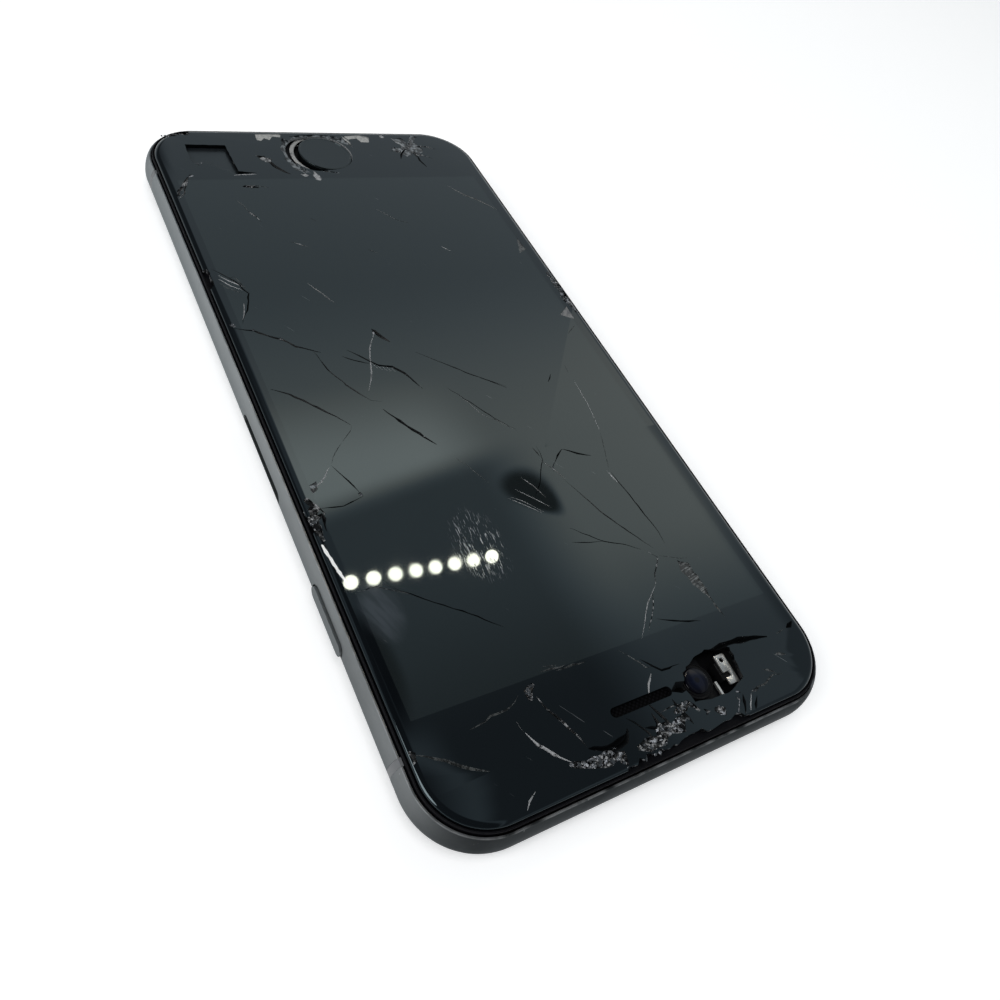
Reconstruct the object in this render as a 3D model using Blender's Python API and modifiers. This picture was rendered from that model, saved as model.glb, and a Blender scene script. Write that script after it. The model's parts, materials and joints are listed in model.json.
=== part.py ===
"""A handset with a shattered screen, lying on its back.

Units are metres. +Z is up, out of the screen. +Y points to the end with the earpiece, and +X to the flank
with the side button and the card slot. The origin is on the resting plane, below the middle of the body.
"""

import math

import bmesh
import bpy
from mathutils import Matrix, Vector

# Metal shell
BODY_WIDTH = 0.0671
BODY_LENGTH = 0.1383
BODY_THICKNESS = 0.0071
CORNER_RADIUS = 0.0102
WIDEST_HEIGHT = 0.0033
BACK_ROUND = 0.0036
RIM_ROUND_WIDTH = 0.0016
RIM_ARC = 0.84
GLASS_PROUD = 0.0009
RIM_LAND = 0.00025
BACK_WALL = 0.0008
SIDE_WALL = 0.0023
FLOOR_CHAMFER = 0.0005
LEDGE_STEP = 0.0003

# Antenna bands let into the back and the flanks
BAND_WIDTH = 0.0011
BAND_DEPTH = 0.0004
BAND_FROM_CAMERA = 0.0014

# Display and its frame
GLASS_THICKNESS = 0.0007
GLASS_EDGE_ROUND = 0.00085
GLASS_EDGE_WALL = 0.00015
FRAME_WIDTH = 0.00182
FRAME_LIP_WIDTH = 0.0002
FRAME_LIP_HEIGHT = 0.0003
FRAME_HEIGHT = 0.0012
LCD_THICKNESS = 0.0008
BACKLIGHT_THICKNESS = 0.0005
BACK_PLATE_THICKNESS = 0.0003
SCREEN_TO_END = 0.0157
SEAL_THICKNESS = 0.00015
HOME_SEAL_GAP = 0.0009
LIGHT_SEAL_THICKNESS = 0.0002

# Clearances
FIT_GAP = 0.0002
LAYER_GAP = 0.0001
SLIDE_GAP = 0.0002
PART_GAP = 0.0003
SIDE_BAY = 0.0036

# Home button
HOME_FROM_END = 0.00855
HOME_RADIUS = 0.00515
HOME_THICKNESS = 0.00125
HOME_SUNK = 0.00015
HOME_TRAVEL = 0.00025
GASKET_FROM_BUTTON = 0.0008
GASKET_WIDTH = 0.0008
GASKET_THICKNESS = 0.0002
HOME_SWITCH_RADIUS = 0.002
HOME_SWITCH_HEIGHT = 0.0003
HOME_BRACKET_WIDTH = 0.022
HOME_BRACKET_THICKNESS = 0.0003

# Earpiece, front camera and sensors
TOP_ROW_FROM_END = 0.00875
EARPIECE_LENGTH = 0.0102
EARPIECE_WIDTH = 0.0014
SPEAKER_LENGTH = 0.0126
SPEAKER_WIDTH = 0.0046
SPEAKER_HEIGHT = 0.0015
MESH_THICKNESS = 0.0002
CAMERA_OFFSET = 0.0101
CAMERA_BARREL_RADIUS = 0.0027
CAMERA_LENS_RADIUS = 0.0019
CAMERA_LENS_HEIGHT = 0.0003
CAMERA_BODY_WIDTH = 0.0062
CAMERA_BODY_HEIGHT = 0.0014
CAMERA_HEIGHT = 0.0023
SENSOR_OFFSET = 0.0160
SENSOR_STRIP_WIDTH = 0.0018
SENSOR_STRIP_LENGTH = 0.0045
SENSOR_HOLE_RADIUS = 0.00035
LIGHT_SENSOR_SIZE = 0.0026
TOP_BRACKET_LENGTH = 0.031
TOP_BRACKET_WIDTH = 0.0085
TOP_BRACKET_THICKNESS = 0.0003

# Buttons in the flanks
BUTTON_HEIGHT = 0.0021
BUTTON_DROP = 0.0006
BUTTON_PROUD = 0.00025
BUTTON_TRAVEL = 0.0003
BUTTON_EDGE = 0.0002
FLANGE_THICKNESS = 0.0006
FLANGE_OVERHANG = 0.0009
SIDE_BUTTON_LENGTH = 0.0104
SIDE_BUTTON_FROM_TOP = 0.03415
VOLUME_BUTTON_LENGTH = 0.0092
VOLUME_UP_FROM_TOP = 0.0331
VOLUME_DOWN_FROM_TOP = 0.0461
RING_SLOT_LENGTH = 0.0058
RING_FROM_TOP = 0.0196
RING_LEVER_HEIGHT = 0.0012
RING_TRAVEL = 0.0009
RING_PROUD = 0.0001
SWITCH_LENGTH = 0.005
SWITCH_DEPTH = 0.0009
SWITCH_PLATE_THICKNESS = 0.0003
SWITCH_PLATE_OVERHANG = 0.005

# Card slot and reader
CARD_SLOT_LENGTH = 0.0162
CARD_SLOT_FROM_TOP = 0.06175
READER_WALL = 0.00025
READER_DEPTH = 0.0155
READER_MARGIN = 0.0004

# Boards, battery and modules on the floor of the shell
BOARD_WIDTH = 0.0215
BOARD_THICKNESS = 0.0006
BOARD_BELOW_BATTERY_TOP = 0.0065
MODULE_HEADROOM = 0.0006
TOP_BAY = 0.0170
BOTTOM_BAY = 0.0205
BATTERY_EDGE = 0.0005
SHIELD_WALL = 0.00025
SHIELD_HEIGHT = 0.0017
SHIELD_MARGIN = 0.0012
PROCESSOR_SHIELD_LENGTH = 0.022
RADIO_SHIELD_LENGTH = 0.026
RADIO_SHIELD_FROM_TOP = 0.0215
COVER_LENGTH = 0.009
COVER_WIDTH = 0.011
COVER_THICKNESS = 0.0003
FLEX_THICKNESS = 0.00015
DISPLAY_FLEX_WIDTH = 0.008
DISPLAY_FLEX_LENGTH = 0.020
BOARD_SCREW_RADIUS = 0.0006
BOARD_SCREW_HEAD_RADIUS = 0.0010
BOARD_SCREW_HEAD = 0.0004
BOARD_SCREW_EDGE = 0.0020

# Rear camera, flash and the small hole between them
REAR_CAMERA_FROM_SIDE = 0.0110
REAR_CAMERA_FROM_END = 0.0080
REAR_CAMERA_SIZE = 0.009
REAR_CAMERA_HEIGHT = 0.0030
TRIM_RADIUS = 0.0036
TRIM_WALL = 0.0006
WINDOW_THICKNESS = 0.0005
FLASH_RADIUS = 0.0018
FLASH_OFFSET = 0.0088
BACK_FLUSH = 0.00005
REAR_MIC_RADIUS = 0.0004
REAR_MIC_OFFSET = 0.0055

# Port end
PORT_WIDTH = 0.0086
PORT_HEIGHT = 0.0024
PORT_DEPTH = 0.0075
PORT_WALL = 0.0003
PORT_CENTRE_HEIGHT = 0.0030
SCREW_OFFSET = 0.0067
SCREW_HEAD_RADIUS = 0.0007
SCREW_SHANK_RADIUS = 0.0004
SCREW_HEAD_LENGTH = 0.0007
SCREW_LENGTH = 0.0035
HOLE_RADIUS = 0.00065
HOLE_PITCH = 0.0021
HOLES_FROM_MIDDLE = 0.0105
SOUND_HOLES = 6
MIC_LENGTH = 0.003
MIC_HEIGHT = 0.0011
MOTOR_WIDTH = 0.0150
LOUDSPEAKER_WIDTH = 0.0180

# Broken glass: the routes are in millimetres on a glass of the marked size
ROUTE_UNIT = 0.001
MARKED_WIDTH = 0.06404
MARKED_LENGTH = 0.13524
CRACK_WIDTH = 0.0002
CRACK_DEPTH = 0.00028
WIDE_CRACK_WIDTH = 0.0006
WIDE_CRACK_DEPTH = 0.00045
CHIP_DEPTH = 0.0002
CUT_REACH = 0.0004
CRACK_TIP = 0.35
MITRE_LIMIT = 0.6

CRACKS = [
    [(33.5, -15.6), (28.2, -14.1), (25.7, -12.2), (22.2, -9.4), (20.2, -8.1), (19.3, -3.4), (16.8, 1.5),
     (14.4, 5.2), (11.5, 10.1), (9.0, 13.6)],
    [(17.0, -9.2), (15.4, -7.8), (13.5, -5.8), (11.6, -3.9), (9.5, -2.8), (8.1, -1.4), (6.4, 2.4)],
    [(7.8, -8.6), (9.6, -10.6), (11.4, -7.4), (12.6, -4.4), (13.5, -1.9), (14.6, 0.6)],
    [(29.5, -1.8), (27.1, -0.3), (24.1, 2.8), (22.0, 5.1), (20.3, 7.3), (20.9, 8.6), (22.7, 10.2),
     (25.8, 13.7), (28.1, 16.2), (29.9, 17.8)],
    [(25.0, 15.2), (23.9, 18.4), (25.6, 20.0), (29.2, 20.6)],
    [(27.6, -25.8), (26.5, -22.5), (27.6, -19.4), (29.2, -17.2)],
    [(-29.0, -7.2), (-26.3, -5.3), (-17.2, 4.8)],
    [(-21.4, 2.2), (-20.8, 11.9), (-18.4, 21.0), (-17.0, 26.0), (-17.9, 32.3), (-18.5, 37.5), (-17.2, 40.0)],
    [(-6.1, 17.2), (-8.4, 20.6), (-11.0, 18.9), (-15.2, 21.4)],
    [(-7.0, 22.0), (-9.6, 28.1), (-10.9, 31.5), (-13.1, 35.4), (-15.4, 39.6)],
    [(-3.4, 35.4), (-8.4, 36.9), (-11.4, 38.2)],
    [(-16.4, 41.0), (-13.4, 44.0), (-12.2, 46.2), (-9.4, 48.6), (-5.3, 52.5)],
    [(-20.5, 43.1), (-17.6, 41.9)],
    [(-9.3, 51.2), (-12.8, 52.4), (-16.0, 53.6)],
    [(4.3, -5.5), (1.4, -3.0), (-3.2, 1.0), (-8.0, 4.6)],
    [(13.5, 54.5), (12.9, 57.1), (11.5, 60.1), (10.4, 62.6), (8.2, 63.4)],
    [(17.2, 58.5), (15.4, 61.6), (12.9, 64.6)],
    [(31.0, 56.2), (28.0, 58.1), (26.0, 59.8), (23.5, 61.2)],
    [(26.2, 33.9), (22.4, 37.0), (16.8, 41.4), (13.1, 44.7)],
    [(-21.9, -49.4), (-24.2, -46.5), (-27.0, -44.1), (-29.2, -41.6)],
    [(-3.2, -43.0), (-6.1, -39.9), (-8.6, -38.0)],
    [(-14.2, -61.1), (-17.4, -61.9), (-20.4, -60.0), (-22.4, -58.7)],
    [(-18.2, -65.0), (-18.9, -62.9)],
    [(-19.4, -60.0), (-20.1, -55.8)],
]
WIDE_CRACKS = [
    [(-30.2, 58.1), (-25.0, 58.7), (-22.9, 58.2), (-19.0, 57.6)],
    [(10.0, 64.2), (6.8, 65.1), (3.0, 64.6)],
]
CHIPS = [
    [(-29.6, -32.4), (-29.8, -28.7), (-27.9, -27.8)],
    [(-30.0, -12.2), (-29.9, -8.7), (-27.4, -10.2)],
    [(-18.6, 43.4), (-20.1, 44.4), (-20.2, 50.6), (-18.2, 45.2)],
    [(12.6, -58.5), (11.6, -55.2), (9.6, -53.8), (10.8, -56.6)],
    [(13.2, 53.6), (14.6, 53.0), (15.0, 54.4), (14.0, 55.0)],
]
STEPPED_HOLE = [
    (26.0, -63.0), (18.8, -62.8), (18.6, -54.8), (15.4, -54.2), (19.6, -53.9), (22.0, -55.8), (24.2, -57.6),
    (25.2, -56.4), (26.2, -57.8),
]
EDGE_NOTCHES = [
    [(34.0, -32.0), (31.4, -28.8), (31.2, -25.0), (34.0, -23.2)],
    [(34.0, 18.6), (31.3, 20.2), (30.9, 23.6), (34.0, 25.4)],
    [(-34.0, -21.6), (-31.2, -19.6), (-31.0, -14.6), (-34.0, -11.4)],
    [(29.4, -69.0), (27.2, -66.0), (24.6, -65.9), (23.8, -69.0)],
    [(7.4, 69.0), (6.6, 67.0), (2.6, 66.2), (-1.0, 66.5), (-4.6, 65.9), (-9.0, 66.6), (-13.2, 66.2),
     (-15.8, 69.0)],
]
# The broken edge of the glass round the home button, as (degrees, gap to the button in millimetres)
HOME_BREAK = [
    (75, 0.8), (90, 0.55), (112, 0.5), (135, 0.5), (157, 0.5), (180, 0.5), (202, 0.5), (225, 0.5), (247, 0.5),
    (270, 0.55), (290, 0.8), (305, 1.5), (318, 2.3), (336, 2.8), (350, 3.1), (5, 3.2), (20, 2.9), (35, 2.8),
    (50, 2.5), (62, 1.9),
]
# The edge of the void round the front camera, in millimetres from its middle
CAMERA_VOID = [
    (1.9, -1.5), (-1.1, -2.9), (-3.5, -3.4), (-7.7, -2.4), (-6.9, 2.1), (-3.3, 3.3), (-0.1, 3.2), (2.6, 2.7),
    (2.9, 0.9),
]

# Number of steps that round shapes are made of
CORNER_STEPS = 8
BACK_STEPS = 5
RIM_STEPS = 3
EDGE_STEPS = 3
END_STEPS = 6
SLOT_STEPS = 4
ROUND_SIDES = 24
HOME_SIDES = 48
GASKET_SIDES = 40
HOLE_SIDES = 16
SMALL_SIDES = 12
TINY_SIDES = 10
SMOOTH_ANGLE = math.radians(35)

# Heights worked out from the sizes above
HALF_WIDTH = BODY_WIDTH / 2
HALF_LENGTH = BODY_LENGTH / 2
RIM_Z = BODY_THICKNESS - GLASS_PROUD
GLASS_BOTTOM = BODY_THICKNESS - GLASS_THICKNESS
FRAME_SHELF = GLASS_BOTTOM - FIT_GAP
FRAME_BOTTOM = FRAME_SHELF - FRAME_HEIGHT
LEDGE_Z = FRAME_BOTTOM - LEDGE_STEP
LCD_TOP = GLASS_BOTTOM - LAYER_GAP
LCD_BOTTOM = LCD_TOP - LCD_THICKNESS
BACKLIGHT_TOP = LCD_BOTTOM - LAYER_GAP
BACKLIGHT_BOTTOM = BACKLIGHT_TOP - BACKLIGHT_THICKNESS
PLATE_TOP = BACKLIGHT_BOTTOM - LAYER_GAP
PLATE_BOTTOM = PLATE_TOP - BACK_PLATE_THICKNESS
GASKET_BOTTOM = GLASS_BOTTOM - LAYER_GAP - GASKET_THICKNESS
MODULE_BOTTOM = BACK_WALL + FIT_GAP
MODULE_TOP = PLATE_BOTTOM - MODULE_HEADROOM
BOARD_TOP = MODULE_BOTTOM + BOARD_THICKNESS
BUTTON_Z = FRAME_BOTTOM - BUTTON_DROP - BUTTON_HEIGHT / 2

# Insets from the widest outline of the body
RIM_INSET = RIM_ROUND_WIDTH * (1 - math.sqrt(1 - RIM_ARC**2))
RIM_INNER = RIM_INSET + RIM_LAND
FRAME_OUTER = RIM_INNER + FIT_GAP
FRAME_LIP_INNER = FRAME_OUTER + FRAME_LIP_WIDTH
GLASS_INSET = FRAME_LIP_INNER + FIT_GAP
FRAME_INNER = FRAME_OUTER + FRAME_WIDTH

# Places on the plan of the body
SCREEN_HALF_WIDTH = HALF_WIDTH - FRAME_INNER - FIT_GAP
SCREEN_HALF_LENGTH = HALF_LENGTH - SCREEN_TO_END
CAVITY_X = HALF_WIDTH - SIDE_WALL
CAVITY_Y = HALF_LENGTH - SIDE_WALL
HOME_Y = -HALF_LENGTH + HOME_FROM_END
TOP_ROW_Y = HALF_LENGTH - TOP_ROW_FROM_END
BATTERY_TOP_Y = HALF_LENGTH - TOP_BAY
BATTERY_BOTTOM_Y = -HALF_LENGTH + BOTTOM_BAY
BOARD_RIGHT_X = CAVITY_X - SIDE_BAY / 2
BOARD_LEFT_X = BOARD_RIGHT_X - BOARD_WIDTH
READER_BOTTOM = BOARD_TOP + FIT_GAP
READER_TOP = PLATE_BOTTOM - MODULE_HEADROOM
SLOT_Z = (READER_BOTTOM + READER_TOP) / 2
SLOT_HEIGHT = READER_TOP - READER_BOTTOM - 2 * READER_WALL + FIT_GAP
SLOT_Y = HALF_LENGTH - CARD_SLOT_FROM_TOP
BAND_FROM_END = REAR_CAMERA_FROM_END + TRIM_RADIUS + BAND_FROM_CAMERA

GREY_METAL = ((0.19, 0.195, 0.205), 0.36, 1.0)
STEEL = ((0.62, 0.61, 0.59), 0.32, 1.0)
BLACK_PLASTIC = ((0.012, 0.012, 0.014), 0.45, 0.0)
BLACK_GLASS = ((0.008, 0.009, 0.010), 0.06, 0.0)
DARK_PANEL = ((0.02, 0.024, 0.024), 0.2, 0.0)
WHITE_SHEET = ((0.75, 0.76, 0.76), 0.5, 0.0)
BOARD_BLACK = ((0.02, 0.025, 0.03), 0.5, 0.0)
CELL_BLACK = ((0.03, 0.03, 0.032), 0.4, 0.0)
COPPER_FLEX = ((0.16, 0.07, 0.02), 0.4, 0.0)
PALE_RUBBER = ((0.5, 0.5, 0.47), 0.6, 0.0)
BAND_PLASTIC = ((0.12, 0.124, 0.13), 0.5, 0.0)
LENS_GLASS = ((0.01, 0.012, 0.03), 0.03, 0.0)
FLASH_YELLOW = ((0.75, 0.68, 0.4), 0.25, 0.0)


def clear_scene():
    for obj in list(bpy.data.objects):
        bpy.data.objects.remove(obj, do_unlink=True)


def new_collection(name, hidden=False):
    collection = bpy.data.collections.new(name)
    collection.hide_render = hidden
    bpy.context.scene.collection.children.link(collection)
    return collection


def material(name, finish):
    colour, roughness, metallic = finish
    made = bpy.data.materials.new(name)
    made.use_nodes = True
    shader = made.node_tree.nodes["Principled BSDF"]
    shader.inputs["Base Color"].default_value = (*colour, 1.0)
    shader.inputs["Roughness"].default_value = roughness
    shader.inputs["Metallic"].default_value = metallic
    return made


def add_object(name, mesh_builder, finish=None, smooth=False):
    """Turns a bmesh into an object: a piece when it has a finish, and a cutter when it has none."""
    bmesh.ops.recalc_face_normals(mesh_builder, faces=mesh_builder.faces)
    mesh = bpy.data.meshes.new(name)
    mesh_builder.to_mesh(mesh)
    mesh_builder.free()
    obj = bpy.data.objects.new(name, mesh)
    if finish is None:
        obj.hide_render = True
        obj.display_type = "WIRE"
        CUTTERS.objects.link(obj)
        return obj
    PIECES.objects.link(obj)
    mesh.materials.append(material(name, finish))
    if smooth:
        mesh.shade_smooth()
        mesh.set_sharp_from_angle(angle=SMOOTH_ANGLE)
    return obj


def rounded_outline(half_x, half_y, radius, steps=CORNER_STEPS, centre=(0.0, 0.0)):
    """Points of a rounded rectangle, anticlockwise from the straight side at +X."""
    points = []
    for turn, (side_x, side_y) in enumerate([(1, 1), (-1, 1), (-1, -1), (1, -1)]):
        for step in range(steps + 1):
            angle = math.radians(90) * (turn + step / steps)
            x = centre[0] + side_x * (half_x - radius) + radius * math.cos(angle)
            y = centre[1] + side_y * (half_y - radius) + radius * math.sin(angle)
            points.append((x, y))
    return points


def body_ring(inset, z):
    """The body's outline, moved in by an inset, at a height."""
    outline = rounded_outline(HALF_WIDTH - inset, HALF_LENGTH - inset, CORNER_RADIUS - inset)
    return [(x, y, z) for x, y in outline]


def stack(rings):
    """A closed solid made by extruding a face from ring to ring."""
    builder = bmesh.new()
    first = builder.faces.new([builder.verts.new(point) for point in rings[0]])
    face = first
    for ring in rings[1:]:
        grown = bmesh.ops.extrude_face_region(builder, geom=[face])["geom"]
        if face is not first:
            bmesh.ops.delete(builder, geom=[face], context="FACES_ONLY")
        face = next(item for item in grown if isinstance(item, bmesh.types.BMFace))
        for corner, point in zip(face.verts, ring):
            corner.co = point
    return builder


def closed_loop(rings):
    """A ring-shaped solid: sections joined each to the next, and the last to the first."""
    builder = bmesh.new()
    rows = [[builder.verts.new(point) for point in ring] for ring in rings]
    for row, after in zip(rows, rows[1:] + rows[:1]):
        for index, corner in enumerate(row):
            follow = (index + 1) % len(row)
            builder.faces.new((corner, row[follow], after[follow], after[index]))
    return builder


def plate(outline, bottom, top):
    return stack([[(x, y, bottom) for x, y in outline], [(x, y, top) for x, y in outline]])


def box_between(low, high):
    builder = bmesh.new()
    size = Vector(high) - Vector(low)
    place = Matrix.Translation((Vector(low) + Vector(high)) / 2) @ Matrix.Diagonal((*size, 1.0))
    bmesh.ops.create_cube(builder, size=1.0, matrix=place)
    return builder


def cylinder(radius, start, end, sides=ROUND_SIDES):
    """A round bar from one point to another."""
    builder = bmesh.new()
    axis = Vector(end) - Vector(start)
    turn = Vector((0, 0, 1)).rotation_difference(axis).to_matrix().to_4x4()
    place = Matrix.Translation((Vector(start) + Vector(end)) / 2) @ turn
    length = axis.length
    bmesh.ops.create_cone(
        builder, cap_ends=True, segments=sides, radius1=radius, radius2=radius, depth=length, matrix=place
    )
    return builder


def circle(radius, sides, centre=(0.0, 0.0)):
    """Points of a circle."""
    angles = [math.tau * side / sides for side in range(sides)]
    return [(centre[0] + radius * math.cos(angle), centre[1] + radius * math.sin(angle)) for angle in angles]


def merge(builders):
    """One bmesh that holds several bodies that don't meet."""
    joined = bmesh.new()
    for builder in builders:
        mesh = bpy.data.meshes.new("part of a cutter")
        builder.to_mesh(mesh)
        builder.free()
        joined.from_mesh(mesh)
        bpy.data.meshes.remove(mesh)
    return joined


def round_edges(obj, width, segments=1):
    bevel = obj.modifiers.new("Rounded edges", "BEVEL")
    bevel.width = width
    bevel.segments = segments
    bevel.limit_method = "ANGLE"
    return obj


def boolean(obj, other, operation="DIFFERENCE"):
    modifier = obj.modifiers.new(f"{operation.title()} {other.name}", "BOOLEAN")
    modifier.operation = operation
    modifier.solver = "EXACT"
    modifier.object = other
    return obj


def flank_profile():
    """(inset, height) pairs up the outside of the flank, from the flat back to the rim."""
    profile = []
    for step in range(BACK_STEPS + 1):
        angle = math.radians(90) * step / BACK_STEPS
        profile.append((BACK_ROUND * (1 - math.sin(angle)), WIDEST_HEIGHT * (1 - math.cos(angle))))
    for step in range(1, RIM_STEPS + 1):
        angle = math.asin(RIM_ARC) * step / RIM_STEPS
        rise = (RIM_Z - WIDEST_HEIGHT) * math.sin(angle) / RIM_ARC
        profile.append((RIM_ROUND_WIDTH * (1 - math.cos(angle)), WIDEST_HEIGHT + rise))
    return profile


def pill_rings(length, height, levels):
    """Rings of a pill outline lying in YZ, for levels of (place along X, inset)."""
    rings = []
    for along, inset in levels:
        radius = height / 2 - inset - LAYER_GAP / 2
        outline = rounded_outline(length / 2 - inset, height / 2 - inset, radius, END_STEPS)
        rings.append([(along, y, z) for y, z in outline])
    return rings


def pill_cutter(name, side, y, z, length, height):
    """A cutter that opens a pill-shaped hole through the flank on one side."""
    inner = CAVITY_X - FIT_GAP
    outer = HALF_WIDTH + PART_GAP
    rings = pill_rings(length, height, [(side * inner, 0.0), (side * outer, 0.0)])
    moved = [[(x, across + y, up + z) for x, across, up in ring] for ring in rings]
    return add_object(name, stack(moved))


def build_housing():
    outside = [body_ring(inset, z) for inset, z in flank_profile()]
    inside = [
        body_ring(RIM_INNER, RIM_Z),
        body_ring(RIM_INNER, LEDGE_Z),
        body_ring(SIDE_WALL, LEDGE_Z),
        body_ring(SIDE_WALL, BACK_WALL + FLOOR_CHAMFER),
        body_ring(SIDE_WALL + FLOOR_CHAMFER, BACK_WALL),
    ]
    housing = add_object("rear_housing", stack(outside + inside), GREY_METAL, smooth=True)
    cut_flank_openings(housing)
    cut_port_end(housing)
    cut_back(housing)
    cut_band_grooves(housing)
    return housing


def cut_flank_openings(housing):
    slot = pill_cutter("card_slot_cutter", 1, SLOT_Y, SLOT_Z, CARD_SLOT_LENGTH, SLOT_HEIGHT)
    boolean(housing, slot)
    height = BUTTON_HEIGHT + 2 * SLIDE_GAP
    for name, side, from_top, length in flank_controls():
        hole = pill_cutter(
            f"{name}_cutter", side, HALF_LENGTH - from_top, BUTTON_Z, length + 2 * SLIDE_GAP, height
        )
        boolean(housing, hole)


def flank_controls():
    """(name, side, distance from the top end, length) of each opening for a control in the flanks."""
    return [
        ("side_button", 1, SIDE_BUTTON_FROM_TOP, SIDE_BUTTON_LENGTH),
        ("volume_up_button", -1, VOLUME_UP_FROM_TOP, VOLUME_BUTTON_LENGTH),
        ("volume_down_button", -1, VOLUME_DOWN_FROM_TOP, VOLUME_BUTTON_LENGTH),
        ("ring_switch", -1, RING_FROM_TOP, RING_SLOT_LENGTH),
    ]


def cut_port_end(housing):
    outer = -HALF_LENGTH - PART_GAP
    inner = -CAVITY_Y + FIT_GAP
    outline = rounded_outline(
        PORT_WIDTH / 2, PORT_HEIGHT / 2, PORT_HEIGHT / 2 - LAYER_GAP, END_STEPS, (0.0, PORT_CENTRE_HEIGHT)
    )
    mouth = stack([[(x, outer, z) for x, z in outline], [(x, inner, z) for x, z in outline]])
    holes = [mouth]
    for side in (-1, 1):
        start = (side * SCREW_OFFSET, outer, PORT_CENTRE_HEIGHT)
        end = (side * SCREW_OFFSET, inner, PORT_CENTRE_HEIGHT)
        holes.append(cylinder(SCREW_HEAD_RADIUS + FIT_GAP, start, end, HOLE_SIDES))
        for count in range(SOUND_HOLES):
            x = side * (HOLES_FROM_MIDDLE + count * HOLE_PITCH)
            start = (x, outer, PORT_CENTRE_HEIGHT)
            end = (x, inner, PORT_CENTRE_HEIGHT)
            holes.append(cylinder(HOLE_RADIUS, start, end, TINY_SIDES))
    boolean(housing, add_object("port_end_cutter", merge(holes)))


def rear_camera_place():
    return HALF_WIDTH - REAR_CAMERA_FROM_SIDE, HALF_LENGTH - REAR_CAMERA_FROM_END


def cut_back(housing):
    x, y = rear_camera_place()
    below = -PART_GAP
    above = BACK_WALL + LAYER_GAP
    holes = []
    for radius, offset, sides in [
        (TRIM_RADIUS + LAYER_GAP, 0.0, ROUND_SIDES),
        (FLASH_RADIUS + LAYER_GAP, FLASH_OFFSET, HOLE_SIDES),
        (REAR_MIC_RADIUS, REAR_MIC_OFFSET, TINY_SIDES),
    ]:
        holes.append(cylinder(radius, (x - offset, y, below), (x - offset, y, above), sides))
    boolean(housing, add_object("back_cutter", merge(holes)))


def band_section(outer_offset, depth):
    """The U-shaped section of an antenna band: along the outside of the body, then back inside it."""
    profile = flank_profile()
    outer = [(HALF_WIDTH - inset + outer_offset, z) for inset, z in profile]
    inner = [(HALF_WIDTH - inset - depth, z) for inset, z in profile]
    outer[0] = (outer[0][0], -outer_offset)
    inner[0] = (inner[0][0], depth)
    inner[1] = (inner[1][0], max(inner[1][1], depth))
    left_outer = [(-x, z) for x, z in outer]
    left_inner = [(-x, z) for x, z in inner]
    return left_outer[::-1] + outer + inner[::-1] + left_inner


def band_solid(outer_offset, depth, y, width):
    section = band_section(outer_offset, depth)
    return stack([[(x, y + side * width / 2, z) for x, z in section] for side in (-1, 1)])


def band_places():
    return (("top", HALF_LENGTH - BAND_FROM_END), ("bottom", -HALF_LENGTH + BAND_FROM_END))


def cut_band_grooves(housing):
    for end, y in band_places():
        groove = add_object(f"band_cutter_{end}", band_solid(PART_GAP, BAND_DEPTH, y, BAND_WIDTH))
        boolean(housing, groove)


def build_antenna_bands():
    for end, y in band_places():
        band = band_solid(0.0, BAND_DEPTH - LAYER_GAP, y, BAND_WIDTH - 2 * LAYER_GAP)
        add_object(f"antenna_band_{end}", band, BAND_PLASTIC)


def build_display():
    frame = [
        body_ring(FRAME_OUTER, FRAME_BOTTOM),
        body_ring(FRAME_OUTER, GLASS_BOTTOM + FRAME_LIP_HEIGHT),
        body_ring(FRAME_LIP_INNER, GLASS_BOTTOM + FRAME_LIP_HEIGHT),
        body_ring(FRAME_LIP_INNER, FRAME_SHELF),
        body_ring(FRAME_INNER, FRAME_SHELF),
        body_ring(FRAME_INNER, FRAME_BOTTOM),
    ]
    frame = add_object("display_frame", closed_loop(frame), BLACK_PLASTIC, smooth=True)
    rebate_radius = HOME_RADIUS + GASKET_FROM_BUTTON + GASKET_WIDTH + FIT_GAP
    rebate_floor = (0.0, HOME_Y, GASKET_BOTTOM - FIT_GAP)
    rebate = cylinder(rebate_radius, rebate_floor, (0.0, HOME_Y, BODY_THICKNESS), GASKET_SIDES)
    boolean(frame, add_object("gasket_rebate_cutter", rebate))
    seal_bottom = LEDGE_Z + (LEDGE_STEP - SEAL_THICKNESS) / 2
    seal = [
        body_ring(FRAME_OUTER, seal_bottom),
        body_ring(FRAME_OUTER, seal_bottom + SEAL_THICKNESS),
        body_ring(SIDE_WALL, seal_bottom + SEAL_THICKNESS),
        body_ring(SIDE_WALL, seal_bottom),
    ]
    add_object("perimeter_seal", closed_loop(seal), BLACK_PLASTIC)
    layers = [
        ("lcd_panel", LCD_BOTTOM, LCD_TOP, DARK_PANEL),
        ("backlight_unit", BACKLIGHT_BOTTOM, BACKLIGHT_TOP, WHITE_SHEET),
        ("display_back_plate", PLATE_BOTTOM, PLATE_TOP, STEEL),
    ]
    for name, bottom, top, finish in layers:
        low = (-SCREEN_HALF_WIDTH, -SCREEN_HALF_LENGTH, bottom)
        high = (SCREEN_HALF_WIDTH, SCREEN_HALF_LENGTH, top)
        add_object(name, box_between(low, high), finish)


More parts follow.
